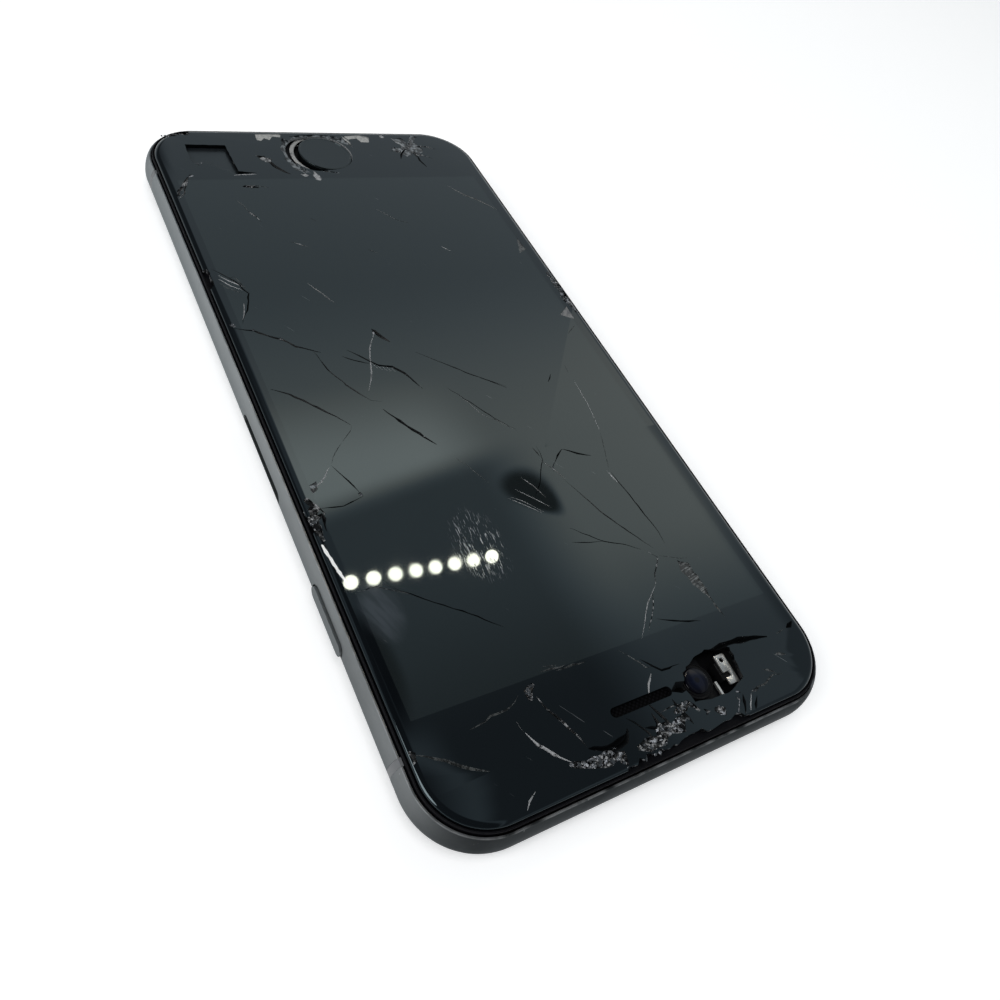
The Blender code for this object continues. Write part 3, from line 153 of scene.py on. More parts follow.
class NodeSheet:
    """The node tree of one material or of the world."""

    def __init__(self, tree: bpy.types.NodeTree) -> None:
        """Starts on an existing tree."""
        self.tree = tree

    def node(
        self, kind: str, settings: dict | None = None, values: dict | None = None, output: str | int = 0
    ) -> Signal:
        """Adds any node.

        Args:
            kind: the node's type.
            settings: properties, and for a colour ramp its stops, which are set first.
            values: numbers, colours or signals for its inputs, by name or number.
            output: the output that the signal comes from.

        Returns:
            The signal of that output.
        """
        made = self.tree.nodes.new(kind)
        for name, value in (settings or {}).items():
            if name == "stops":
                self._set_stops(made.color_ramp, value)
            else:
                setattr(made, name, value)
        for name, value in (values or {}).items():
            self.feed(made.inputs[name], value)
        return Signal(self, made.outputs[output])

    @staticmethod
    def _set_stops(ramp: bpy.types.ColorRamp, stops: Sequence[tuple[float, float]]) -> None:
        """Sets a ramp to grey stops of (place, brightness)."""
        while len(ramp.elements) < len(stops):
            ramp.elements.new(0.5)
        for element, (place, level) in zip(ramp.elements, stops):
            element.position = place
            element.color = (level, level, level, 1.0)

    def feed(self, socket: bpy.types.NodeSocket, value: Signal | float | Sequence[float]) -> None:
        """Links a signal to a socket, or sets a constant on it."""
        if isinstance(value, Signal):
            self.tree.links.new(value.socket, socket)
        elif socket.type == "RGBA" and not isinstance(value, (int, float)):
            socket.default_value = (*value[:3], 1.0)
        else:
            socket.default_value = value

    def noise(
        self, scale: float, detail: float = 3.0, place: Signal | None = None, rough: float = 0.5
    ) -> Signal:
        """A cloudy noise from 0 to 1.

        Args:
            scale: cells per metre.
            detail: finer layers on top.
            place: the coordinates, the object's own where it is None.
            rough: how strong the finer layers are.

        Returns:
            The noise.
        """
        values = {"Vector": place or self.place(), "Scale": scale, "Detail": detail, "Roughness": rough}
        return self.node("ShaderNodeTexNoise", None, values)

    def place(self) -> Signal:
        """The object's own coordinates in metres."""
        return self.node("ShaderNodeTexCoord", None, None, "Object")

    def stretched(self, factors: Sequence[float], turn: float = 0.0) -> Signal:
        """The object's coordinates, turned about Z and then stretched, for streaks."""
        scale = tuple(1 / factor for factor in factors)
        values = {"Vector": self.place(), "Scale": scale, "Rotation": (0.0, 0.0, turn)}
        return self.node("ShaderNodeMapping", {"vector_type": "TEXTURE"}, values)

    def axes(self) -> tuple[Signal, Signal, Signal]:
        """X, Y and Z of the surface in millimetres."""
        values = {0: self.place(), "Scale": 1 / MM}
        scaled = self.node("ShaderNodeVectorMath", {"operation": "SCALE"}, values)
        return tuple(self.node("ShaderNodeSeparateXYZ", None, {0: scaled}, axis) for axis in "XYZ")

    def blend(self, share: Signal | float, first: Signal | Colour, second: Signal | Colour) -> Signal:
        """Mixes two colours.

        Args:
            share: how much of the second.
            first: the colour at share 0.
            second: the colour at share 1.

        Returns:
            The mixed colour.
        """
        return self.node("ShaderNodeMix", {"data_type": "RGBA"}, {0: share, 6: first, 7: second}, 2)

    def relief(self, height: Signal, depth: float) -> Signal:
        """A bumped normal from a height of 0 to 1 and its depth in metres."""
        values = {"Strength": 1.0, "Distance": depth, "Height": height}
        return self.node("ShaderNodeBump", None, values, "Normal")


def oval(across: Signal, along: Signal, centre: Point, half: Point) -> Signal:
    """How far out a place lies: 0 at the centre of an oval and 1 on its edge, both in millimetres."""
    return ((across - centre[0]) / half[0]) ** 2.0 + ((along - centre[1]) / half[1]) ** 2.0


@dataclass(frozen=True)
class Finish:
    """A surface finish: its plain values, and how they vary over the surface."""

    name: str
    colour: Colour
    roughness: float
    metallic: float = 0.0
    coat: float = 0.0
    grain: float = 2500.0
    grain_depth: float = 4e-6
    colour_play: float = 0.12
    specular: float = 0.5
    tint: Colour = (1.0, 1.0, 1.0)

    def material(self) -> bpy.types.Material:
        """The finish as a material, made once and shared."""
        known = bpy.data.materials.get(self.name)
        if known is not None:
            return known
        made = bpy.data.materials.new(self.name)
        made.use_nodes = True
        made.diffuse_color = (*self.colour, 1.0)
        sheet = NodeSheet(made.node_tree)
        shader = made.node_tree.nodes["Principled BSDF"]
        shader.inputs["Base Color"].default_value = (*self.colour, 1.0)
        shader.inputs["Roughness"].default_value = self.roughness
        shader.inputs["Metallic"].default_value = self.metallic
        shader.inputs["Coat Weight"].default_value = self.coat
        shader.inputs["Specular IOR Level"].default_value = self.specular
        shader.inputs["Specular Tint"].default_value = (*self.tint, 1.0)
        for socket, value in self.dress(sheet).items():
            sheet.feed(shader.inputs[socket], value)
        return made

    def shade(self, factor: float) -> Colour:
        """The colour, lighter or darker by a factor."""
        return tuple(min(1.0, channel * factor) for channel in self.colour)

    def dress(self, sheet: NodeSheet) -> dict[str, Signal]:
        """What varies over a plain moulded or painted surface.

        Args:
            sheet: the material's nodes.

        Returns:
            Signals for the shader's sockets.
        """
        cloud = sheet.noise(self.grain / 12)
        fine = sheet.noise(self.grain, 2.0)
        return {
            "Base Color": sheet.blend(
                cloud, self.shade(1 - self.colour_play), self.shade(1 + self.colour_play)
            ),
            "Roughness": self.roughness * (0.85 + 0.3 * cloud),
            "Normal": sheet.relief(fine, self.grain_depth),
        }


@dataclass(frozen=True)
class AnodisedAluminium(Finish):
    """Blasted and anodised aluminium, a little rubbed at the rim, with a little cloudy grime and painted
    shade that darkens it towards the earpiece's end.
    """

    bright: Colour = (0.40, 0.405, 0.41)
    # The dark colour that the painted shade and the grime blend towards.
    shade_and_grime: Colour = (0.014, 0.016, 0.017)
    rim_height: float = 6.02
    rim_band: float = 0.16
    wear: float = 0.45
    # Painted shade along Y: where it starts and ends in millimetres and how dark it gets, then the darker
    # painted shade on the earpiece's end.
    shade_run: Point = (-30.0, 58.0)
    shade_share: float = 0.38
    end_shade_run: Point = (58.0, 67.5)
    end_shade_share: float = 0.56

    def dress(self, sheet: NodeSheet) -> dict[str, Signal]:
        """Blast grain, rubbed rim, nicks, a little cloudy grime, and painted shade towards the earpiece's
        end.
        """
        _, along, height = sheet.axes()
        grain = sheet.noise(9000.0, 2.0)
        cloud = sheet.noise(120.0, 4.0)
        rim = height.ramp(self.rim_height, self.rim_height + self.rim_band)
        worn = rim * sheet.noise(380.0, 4.0).ramp(0.36, 0.62) * self.wear
        nicks = sheet.noise(1500.0, 3.0).ramp(0.69, 0.76) * height.ramp(4.4, 6.1) * self.wear
        # Painted shade: the base colour darkens along Y towards the earpiece's end, most of all on that end.
        # The cloud adds a little real grime.
        shade_and_grime = along.ramp(*self.shade_run) * self.shade_share + along.ramp(*self.end_shade_run) * self.end_shade_share
        shade_and_grime = shade_and_grime + cloud.ramp(0.46, 0.7) * 0.06
        shaded_and_dirty = sheet.blend(shade_and_grime, self.colour, self.shade_and_grime)
        return {
            "Base Color": sheet.blend(worn.most(nicks), shaded_and_dirty, self.bright),
            "Roughness": self.roughness + 0.08 * (cloud - 0.5) + 0.12 * shade_and_grime - 0.06 * worn,
            "Metallic": 1.0 - 0.3 * shade_and_grime,
            "Normal": sheet.relief(grain + nicks * 0.6, 4e-6),
        }


@dataclass(frozen=True)
class Facet:
    """A shard of the glass that lies a little tilted: where it ends, and how its face leans."""

    edges: tuple[tuple[float, float, float], ...]
    lean: Point


@dataclass(frozen=True)
class ScreenGlass(Finish):
    """Polished cover glass with its black printed border, smudged, scratched and lying in tilted shards."""

    window: Colour = (0.0100, 0.0130, 0.0138)
    window_half: Point = (29.75, 52.4)
    window_shift: float = 0.25
    print_edge: float = 0.12
    haze: float = 0.03
    smear_centre: Point = (27.6, 37.5)
    smear_half: Point = (3.2, 5.5)
    smear_colour: Colour = (0.26, 0.28, 0.33)
    scuff_centre: Point = (10.5, 32.0)
    scuff_half: Point = (4.4, 7.0)
    scuff_colour: Colour = (0.34, 0.35, 0.37)
    facets: tuple[Facet, ...] = ()

    def dress(self, sheet: NodeSheet) -> dict[str, Signal]:
        """The window behind the glass, smudges, a fan of scratches, and the leaning shards."""
        across, along, _ = sheet.axes()
        half_x, half_y = self.window_half
        inside_x = 1 - abs(across - self.window_shift).ramp(half_x - self.print_edge, half_x)
        inside_y = 1 - abs(along).ramp(half_y - self.print_edge, half_y)
        window = inside_x * inside_y
        smudge = sheet.noise(55.0, 5.0, rough=0.62).ramp(0.42, 0.72)
        scratch = self._scratches(sheet, across, along)
        reach = oval(across, along, self.smear_centre, self.smear_half)
        wiped = sheet.stretched((900.0, 160.0, 900.0), math.radians(24))
        streaks = sheet.noise(1.0, 3.0, wiped).ramp(0.38, 0.62)
        smear = (1 - reach.ramp(0.1, 1.0)) * (0.4 + 0.6 * streaks) * 0.11
        clean = sheet.blend(window, self.colour, self.window)
        greasy = sheet.blend(smear, clean, self.smear_colour)
        return {
            "Base Color": sheet.blend(scratch, greasy, self.scuff_colour),
            "Roughness": self.roughness + self.haze * smudge + 0.2 * scratch,
            "Normal": self._leaning(sheet, across, along),
        }

    def _scratches(self, sheet: NodeSheet, across: Signal, along: Signal) -> Signal:
        """A fan of short scuffs near the middle of the screen, and a few stray ones."""
        fan = 1 - oval(across, along, self.scuff_centre, self.scuff_half).ramp(0.25, 1.0)
        dashes = sheet.noise(1.0, 2.0, sheet.stretched((6200.0, 700.0, 900.0), math.radians(-4)))
        gaps = sheet.noise(900.0, 2.0)
        strays = sheet.noise(1.0, 1.0, sheet.stretched((5000.0, 240.0, 900.0), math.radians(35)))
        return fan * dashes.ramp(0.57, 0.66) * gaps.ramp(0.32, 0.58) * 0.75 + strays.ramp(0.80, 0.84) * 0.25

    def _leaning(self, sheet: NodeSheet, across: Signal, along: Signal) -> Signal:
        """The normal of the glass, leaned over on each facet and softly waved by its bent sheet."""
        wave = sheet.noise(30.0, 1.0)
        normal = sheet.relief(wave, 6e-5)
        for facet in self.facets:
            mask = None
            for a, b, c in facet.edges:
                side = (across * a + along * b + c).ramp(-0.04, 0.04)
                mask = side if mask is None else mask * side
            leans = {axis: mask * lean for axis, lean in enumerate(facet.lean)}
            lean = sheet.node("ShaderNodeCombineXYZ", None, leans)
            normal = sheet.node("ShaderNodeVectorMath", {"operation": "ADD"}, {0: normal, 1: lean})
        return sheet.node("ShaderNodeVectorMath", {"operation": "NORMALIZE"}, {0: normal})


@dataclass(frozen=True)
class FractureFace(Finish):
    """A broken face of the glass: pale where it is crushed, dark where it is clean, and ribbed if wanted."""

    pale: Colour = (0.55, 0.56, 0.57)
    pale_share: float = 0.5
    patch: float = 1400.0
    rib_turn: float | None = None
    gap_shade: float = 0.22

    def dress(self, sheet: NodeSheet) -> dict[str, Signal]:
        """Crushed and clean stretches, with splinters or ribs."""
        patches = sheet.noise(self.patch, 4.0, rough=0.7)
        low = 0.66 - 0.34 * self.pale_share
        crushed = patches.ramp(low, low + 0.10)
        if self.rib_turn is None:
            splinters = sheet.noise(7000.0, 3.0, rough=0.7)
        else:
            turned = sheet.stretched((300.0, 4400.0, 900.0), math.radians(self.rib_turn))
            splinters = sheet.noise(1.0, 2.0, turned).ramp(0.44, 0.60)
        light = sheet.blend(splinters, tuple(self.gap_shade * channel for channel in self.pale), self.pale)
        return {
            "Base Color": sheet.blend(crushed, self.colour, light),
            "Roughness": self.roughness + 0.25 * crushed,
            "Normal": sheet.relief(splinters, 4e-5),
        }


@dataclass(frozen=True)
class StampedSteel(Finish):
    """Stamped or rolled steel with faint lines along Y and dull stains."""

    def dress(self, sheet: NodeSheet) -> dict[str, Signal]:
        """Rolling lines and stains."""
        lines = sheet.noise(1.0, 2.0, sheet.stretched((9000.0, 500.0, 9000.0)))
        stain = sheet.noise(700.0, 4.0).ramp(0.45, 0.7)
        return {
            "Base Color": sheet.blend(stain, self.shade(1.05), self.shade(0.72)),
            "Roughness": self.roughness + 0.18 * stain + 0.08 * lines,
            "Normal": sheet.relief(lines, 2e-6),
        }


@dataclass(frozen=True)
class WovenMesh(Finish):
    """The fine woven screen over the earpiece."""

    threads: float = 9000.0

    def dress(self, sheet: NodeSheet) -> dict[str, Signal]:
        """Crossing threads with dark openings between them."""
        across, along, _ = sheet.axes()
        turn = self.threads * MM
        thread = ((across * turn).sine() * (along * turn).sine()).ramp(-0.2, 0.5)
        return {
            "Base Color": sheet.blend(thread, self.shade(0.3), self.shade(1.6)),
            "Roughness": self.roughness + 0.1 * thread,
            "Normal": sheet.relief(thread, 3e-5),
        }


@dataclass(frozen=True)
class LensCoat(Finish):
    """Coated lens glass: deep blue in the middle, black at its edge."""

    centre: Point = (0.0, 0.0)
    reach: float = 1.9
    glow: Colour = (0.002, 0.0035, 0.012)

    def dress(self, sheet: NodeSheet) -> dict[str, Signal]:
        """A soft blue bloom and a dark iris."""
        across, along, _ = sheet.axes()
        far = oval(across, along, self.centre, (self.reach, self.reach)) ** 0.5
        ring = 1 - far.ramp(0.35, 1.0)
        iris = far.ramp(0.18, 0.24)
        return {
            "Base Color": sheet.blend(ring * iris, self.colour, self.glow),
            "Roughness": self.roughness + 0.02 * sheet.noise(900.0),
            "Normal": sheet.relief(sheet.noise(200.0), 1e-6),
        }


FACETS = (Facet(((-0.79, 0.61, -17.5), (0.0, -1.0, 18.0)), (0.0, 0.030)),)
METAL_GREY = (0.285, 0.299, 0.304)
METAL_TINT = (0.4, 0.42, 0.43)
GLASS_TINT = (0.80, 1.0, 1.07)
NO_RIM = 9.0
ALUMINIUM = AnodisedAluminium("anodised aluminium", METAL_GREY, 0.36, 1.0, tint=METAL_TINT)
# The keys and the camera ring carry the same painted shade along Y.
KEY_METAL = AnodisedAluminium("key metal", METAL_GREY, 0.34, 1.0, tint=METAL_TINT, rim_height=NO_RIM)
GLASS = ScreenGlass("cover glass", (0.0028, 0.0036, 0.0046), 0.018, facets=FACETS, tint=GLASS_TINT)
DARK_FRACTURE = FractureFace("clean fracture", (0.002, 0.0025, 0.003), 0.36, specular=0.15, pale_share=0.03)
MIXED_FRACTURE = FractureFace("broken fracture", (0.004, 0.0045, 0.005), 0.30, pale_share=0.45)
PALE_FRACTURE = FractureFace("crushed fracture", (0.02, 0.021, 0.023), 0.34, pale_share=0.85, patch=2400.0)
FAINT_FRACTURE = FractureFace(
    "faint fracture", (0.02, 0.022, 0.023), 0.2, pale=(0.14, 0.15, 0.15), pale_share=0.6
)
RIBBED_FRACTURE = FractureFace(
    "ribbed fracture", (0.015, 0.017, 0.018), 0.3, pale=(0.15, 0.16, 0.16), pale_share=0.75, rib_turn=12.0
)
DULL_POCKET = FractureFace("dull pocket", (0.10, 0.105, 0.11), 0.5, pale=(0.32, 0.32, 0.32), pale_share=0.6)
BRIGHT_POCKET = FractureFace(
    "bright pocket", (0.22, 0.225, 0.22), 0.5, pale=(0.62, 0.62, 0.60), pale_share=0.8
)
BLOTCH = FractureFace(
    "crushed blotch", (0.010, 0.012, 0.014), 0.3, pale=(0.30, 0.33, 0.35), pale_share=0.55, patch=1000.0
)
GRIT = FractureFace(
    "crushed grains", (0.035, 0.04, 0.045), 0.2, pale=(0.52, 0.54, 0.58), pale_share=0.48, patch=1100.0
)
# A near-white splinter finish: a painted glint, the highlight along the glass's broken edge.
PAINTED_GLINT = Finish("bright splinter", (0.92, 0.92, 0.90), 0.2, coat=1.0)
BLACK_PLASTIC = Finish("black frame plastic", (0.003, 0.003, 0.004), 0.55, specular=0.12)
BAND_PLASTIC = Finish("band plastic", (0.12, 0.124, 0.13), 0.48)
MODULE_BLACK = Finish("module black", (0.03, 0.03, 0.032), 0.4)
PANEL = Finish("display panel", (0.014, 0.016, 0.017), 0.12, coat=0.4, grain_depth=1e-6)
BORDER_FILM = Finish("border film", (0.010, 0.012, 0.014), 0.28, grain_depth=2e-6, tint=GLASS_TINT)
HOME_FACE = Finish(
    "home button face", (0.0035, 0.0045, 0.0052), 0.07, grain_depth=1e-6, tint=(0.80, 1.0, 1.05)
)
WHITE_SHEET = Finish("reflector sheet", (0.75, 0.76, 0.76), 0.5)
STEEL = StampedSteel("stamped steel", (0.62, 0.61, 0.59), 0.30, 1.0)
# A lighter copy of the stamped steel: painted light that makes up for the shade of the opening that the
# sensor strip and its clip lie in.
LIGHTENED_STRIP_STEEL = StampedSteel("sensor strip steel", (0.80, 0.79, 0.76), 0.38, 1.0)
RUBBER = FractureFace(
    "pale gasket", (0.12, 0.12, 0.12), 0.42, pale=(0.50, 0.50, 0.49), pale_share=0.75, patch=700.0
)
BOARD = Finish("board lacquer", (0.02, 0.025, 0.03), 0.45, coat=0.3)
FILM = Finish("brown film", (0.16, 0.07, 0.02), 0.35, coat=0.3)
FLASH = Finish("flash window", (0.75, 0.68, 0.40), 0.2, coat=0.6)
CLOTH_MESH = WovenMesh("earpiece weave", (0.0025, 0.0025, 0.003), 0.7, specular=0.05)
LENS_BLACK = (0.002, 0.002, 0.004)
FRONT_CAMERA = (-10.1, 60.4)
FRONT_LENS = LensCoat("front lens", LENS_BLACK, 0.05, specular=0.2, centre=FRONT_CAMERA, reach=1.9)
REAR_LENS = LensCoat("rear lens", LENS_BLACK, 0.03, coat=1.0, centre=(22.55, 61.15), reach=2.6)
# Near black: the front camera's own black, and painted shade on the steel and modules that lie deep under the
# broken glass and in the screws' cross recesses.
BLACK_AND_PAINTED_SHADE = Finish("blackened metal", (0.004, 0.004, 0.0045), 0.5, specular=0.12)

# CAD nodes painted black as shade, for they lie deep under the broken glass.
PAINTED_SHADE_NODES = (
    "earpiece_bracket", "light_sensor", "earpiece_speaker", "display_back_plate", "home_button_bracket"
)
SLOT_FINISHES: dict[str, Finish] = {
    "screen_panel": PANEL,
    "white_sheet": WHITE_SHEET,
    "steel": STEEL,
    "black_plastic": BLACK_PLASTIC,
    "pale_rubber": RUBBER,
    "module_black": MODULE_BLACK,
    "board": BOARD,
    "flex_film": FILM,
    "flash_window": FLASH,
    "lens_glass": FRONT_LENS,
    "black_glass": GLASS,
    "housing_metal": ALUMINIUM,
    "band_plastic": BAND_PLASTIC,
}


def pick(*objects: bpy.types.Object) -> None:
    """Selects only these objects, the first of them active."""
    bpy.ops.object.select_all(action="DESELECT")
    for obj in objects:
        obj.select_set(True)
    if objects:
        bpy.context.view_layer.objects.active = objects[0]


@contextmanager
def editing(obj: bpy.types.Object, kind: str = "FACE") -> Iterator[None]:
    """Edit mode on one object with nothing selected in it.

    Args:
        obj: the object.
        kind: what is selected, VERT, EDGE or FACE.
    """
    pick(obj)
    bpy.ops.object.mode_set(mode="EDIT")
    bpy.ops.mesh.select_mode(type=kind)
    bpy.ops.mesh.select_all(action="DESELECT")
    yield
    bpy.ops.object.mode_set(mode="OBJECT")


def select_where(obj: bpy.types.Object, kind: str, test: Callable[[object], bool]) -> None:
    """Selects the vertices, edges or faces of the edited mesh that pass a test.

    Args:
        obj: the object in edit mode.
        kind: verts, edges or faces.
        test: says whether one of them is wanted.
    """
    mesh = bmesh.from_edit_mesh(obj.data)
    for item in getattr(mesh, kind):
        item.select_set(test(item))
    mesh.select_flush_mode()
    bmesh.update_edit_mesh(obj.data)


def settle(obj: bpy.types.Object) -> bpy.types.Object:
    """Puts an object's place, turn and size into its mesh."""
    pick(obj)
    bpy.ops.object.transform_apply(location=True, rotation=True, scale=True)
    return obj


def bore(name: str, radius: float, low: Vector, high: Vector, sides: int = 48) -> bpy.types.Object:
    """A round bar between two points.

    Args:
        name: the object's name.
        radius: its radius.
        low: one end.
        high: the other end.
        sides: how many sides it has.

    Returns:
        The object, with its place in its mesh.
    """
    pick()
    axis = high - low
    turn = UP.rotation_difference(axis).to_euler()
    bpy.ops.mesh.primitive_cylinder_add(
        vertices=sides, radius=radius, depth=axis.length, location=(low + high) / 2, rotation=turn
    )
    obj = bpy.context.object
    obj.name = name
    return settle(obj)


def rounded_block(
    name: str, low: Vector, high: Vector, radius: float, steps: int, axis: int = 2
) -> bpy.types.Object:
    """A block whose edges along one axis are rounded, as a start for shells, plates and keys.

    Args:
        name: the object's name.
        low: its lowest corner.
        high: its highest corner.
        radius: the radius of the rounded edges.
        steps: how many flats make each round.
        axis: 0, 1 or 2, the axis that the rounded edges lie along.

    Returns:
        The object, with its place in its mesh.
    """
    pick()
    bpy.ops.mesh.primitive_cube_add(size=1.0, location=(low + high) / 2, scale=high - low)
    obj = bpy.context.object
    obj.name = name
    settle(obj)
    if radius > 0:
        with editing(obj, "EDGE"):
            select_where(obj, "edges", lambda edge: abs((edge.verts[0].co - edge.verts[1].co)[axis]) > 1e-6)
            bpy.ops.mesh.bevel(offset=radius, segments=steps, affect="EDGES", clamp_overlap=False)
    return obj


def flank_pill(name: str, reach: Point, along: Point, heights: Point, steps: int) -> bpy.types.Object:
    """A bar with a pill section that runs out through a flank, as a key, its flange and its hole do.

    Args:
        name: the object's name.
        reach: where it begins and ends along X, in either order.
        along: its ends along Y.
        heights: its lowest and highest Z.
        steps: how many flats make each quarter of its round ends.

    Returns:
        The object, with its place in its mesh.
    """
    low = Vector((min(reach), along[0], heights[0]))
    high = Vector((max(reach), along[1], heights[1]))
    return rounded_block(name, low, high, (heights[1] - heights[0]) / 2 - PILL_SPARE, steps, axis=0)


@dataclass(frozen=True)
class NodeBox:
    """The box of a CAD node, and what is worked out from it."""

    low: Vector
    high: Vector

    @classmethod
    def of(cls, node: str) -> NodeBox:
        """The box of a node by its name."""
        return cls(*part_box(node))

    @property
    def centre(self) -> Vector:
        """Its middle."""
        return (self.low + self.high) / 2

    @property
    def radius(self) -> float:
        """Half its width along X, the radius of a round node."""
        return (self.high.x - self.low.x) / 2

    def at(self, z: float) -> Vector:
        """The point on its upright axis at a height."""
        return Vector((*self.centre.xy, z))

    def disc(self, name: str, sides: int) -> bpy.types.Object:
        """A round disc that fills it."""
        return bore(name, self.radius, self.at(self.low.z), self.at(self.high.z), sides)


def arc_steps(width: float, height: float, count: int, reach: float) -> list[Point]:
    """Insets and rises of an elliptic arc that starts upright.

    Args:
        width: the ellipse's half axis across.
        height: the rise of the whole arc.
        count: how many steps it has.
        reach: the sine of the angle where it ends.

    Returns:
        (inset, rise) pairs.
    """
    last = math.asin(reach)
    places = []
    for step in range(count + 1):
        angle = last * step / count
        places.append((width * (1 - math.cos(angle)), height * math.sin(angle) / reach))
    return [(b[0] - a[0], b[1] - a[1]) for a, b in zip(places, places[1:])]


def terrace(obj: bpy.types.Object, towards: Vector, steps: Sequence[Point]) -> None:
    """Builds on the outermost flat face that looks one way, step by step.

    Args:
        obj: the object.
        towards: the way that the face looks.
        steps: (inset, rise) pairs, in metres.
    """
    with editing(obj):
        mesh = bmesh.from_edit_mesh(obj.data)
        facing = [face for face in mesh.faces if face.normal.dot(towards) > 0.999]
        outermost = max(face.calc_center_median().dot(towards) for face in facing)
        wanted = {face.index for face in facing if face.calc_center_median().dot(towards) > outermost - 1e-6}
        select_where(obj, "faces", lambda face: face.index in wanted)
        for inset, rise in steps:
            if inset:
                bpy.ops.mesh.inset(thickness=inset, depth=rise, use_even_offset=True)
            else:
                bpy.ops.mesh.extrude_region_move(TRANSFORM_OT_translate={"value": towards * rise})


def poly_curve(name: str, corners: Sequence[Point], unit: float, closed: bool = True) -> bpy.types.Object:
    """A curve of straight runs: flat where it is closed, and otherwise a route.

    Args:
        name: the object's name.
        corners: its corners.
        unit: what one step of the corners' numbers measures in metres.
        closed: whether the last corner leads back to the first.

    Returns:
        The object.
    """
    curve = bpy.data.curves.new(name, "CURVE")
    curve.dimensions = "2D" if closed else "3D"
    spline = curve.splines.new("POLY")
    spline.points.add(len(corners) - 1)
    for point, (x, y) in zip(spline.points, corners):
        point.co = (x * unit, y * unit, 0.0, 1.0)
    spline.use_cyclic_u = closed
    obj = bpy.data.objects.new(name, curve)
    bpy.context.scene.collection.objects.link(obj)
    return obj


def outline_prism(name: str, outline: Sequence[Point], low_z: float, high_z: float) -> bpy.types.Object:
    """A flat curve of any outline, thickened and made a mesh.

    Args:
        name: the object's name.
        outline: its corners in millimetres.
        low_z: the height of its underside in metres.
        high_z: the height of its top.

    Returns:
        The object.
    """
    obj = poly_curve(name, outline, MM)
    obj.data.fill_mode = "BOTH"
    obj.data.extrude = (high_z - low_z) / 2
    obj.location.z = (low_z + high_z) / 2
    return weld(obj)


def weld(obj: bpy.types.Object) -> bpy.types.Object:
    """Makes a curve a mesh and closes its caps."""
    pick(obj)
    bpy.ops.object.convert(target="MESH")
    settle(obj)
    with editing(obj, "VERT"):
        bpy.ops.mesh.select_all(action="SELECT")
        bpy.ops.mesh.remove_doubles(threshold=1e-7)
        bpy.ops.mesh.normals_make_consistent(inside=False)
    return obj


def combine(obj: bpy.types.Object, tool: bpy.types.Object, operation: str = "DIFFERENCE") -> bpy.types.Object:
    """Cuts, joins or trims an object with another, which is then removed.

    Args:
        obj: the object that stays.
        tool: the other one.
        operation: DIFFERENCE, UNION or INTERSECT.

    Returns:
        The object that stays.
    """
    pick(obj)
    cut = obj.modifiers.new("shape", "BOOLEAN")
    cut.operation = operation
    cut.solver = "EXACT"
    cut.material_mode = "TRANSFER"
    cut.object = tool
    bpy.ops.object.modifier_apply(modifier=cut.name)
    bpy.data.objects.remove(tool, do_unlink=True)
    return obj


def join(objects: Sequence[bpy.types.Object], name: str) -> bpy.types.Object:
    """Joins objects into one.

    Args:
        objects: what is joined.
        name: the name of the result.

    Returns:
        The joined object.
    """
    pick(*objects)
    if len(objects) > 1:
        bpy.ops.object.join()
    joined = bpy.context.view_layer.objects.active
    joined.name = name
    return joined


def coat(obj: bpy.types.Object, finish: Finish) -> bpy.types.Object:
    """Gives an object one finish all over."""
    obj.data.materials.clear()
    obj.data.materials.append(finish.material())
    return obj


def ease_edges(
    obj: bpy.types.Object, width: float, segments: int = 2, angle: float = 40.0
) -> bpy.types.Object:
    """Takes the sharp edges off with a small bevel.

    Args:
        obj: the object.
        width: the width of the bevel.
        segments: its steps.
        angle: the least angle of an edge that is bevelled, in degrees.

    Returns:
        The object.
    """
    pick(obj)
    bevel = obj.modifiers.new("eased", "BEVEL")
    bevel.width = width
    bevel.segments = segments
    bevel.limit_method = "ANGLE"
    bevel.angle_limit = math.radians(angle)
    bpy.ops.object.modifier_apply(modifier=bevel.name)
    return obj


def present(
    obj: bpy.types.Object, slot: str, body: str, *nodes: str, smooth: float = 30.0
) -> bpy.types.Object:
    """Finishes a piece: smooth shading, its body and the CAD nodes that it stands for.

    Args:
        obj: the piece.
        slot: the record's material slot; not used.
        body: the body that it rides on.
        nodes: the CAD nodes that it replaces.
        smooth: the angle below which its shading is smooth, in degrees.

    Returns:
        The piece.
    """
    pick(obj)
    bpy.ops.object.shade_smooth_by_angle(angle=math.radians(smooth))
    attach(obj, body)
    if nodes:
        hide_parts(*nodes)
    LOG.info("%s: %d faces", obj.name, len(obj.data.polygons))
    return obj


def ragged(
    points: Sequence[Point], seed: str, amount: float, step: float, closed: bool = False
) -> list[Point]:
    """A route with its straight runs broken up, as a fracture wanders.

    Args:
        points: the route in millimetres.
        seed: what the wandering is drawn from.
        amount: how far a point strays, as a share of the run that it breaks.
        step: the longest run that is left straight.
        closed: whether the last point leads back to the first.

    Returns:
        The longer list of points.
    """
    chance = random.Random(seed)
    ends = points[1:] + points[:1] if closed else points[1:]
    made: list[Point] = []
    for start, end in zip(points, ends):
        made.append(start)
        length = math.dist(start, end)
        count = max(1, round(length / step))
        for part in range(1, count):
            share = (part + chance.uniform(-0.25, 0.25)) / count
            stray = chance.uniform(-1.0, 1.0) * amount * min(length, 4 * step)
            x = start[0] + (end[0] - start[0]) * share - (end[1] - start[1]) / length * stray
            y = start[1] + (end[1] - start[1]) * share + (end[0] - start[0]) / length * stray
            made.append((x, y))
    if not closed:
        made.append(points[-1])
    return made


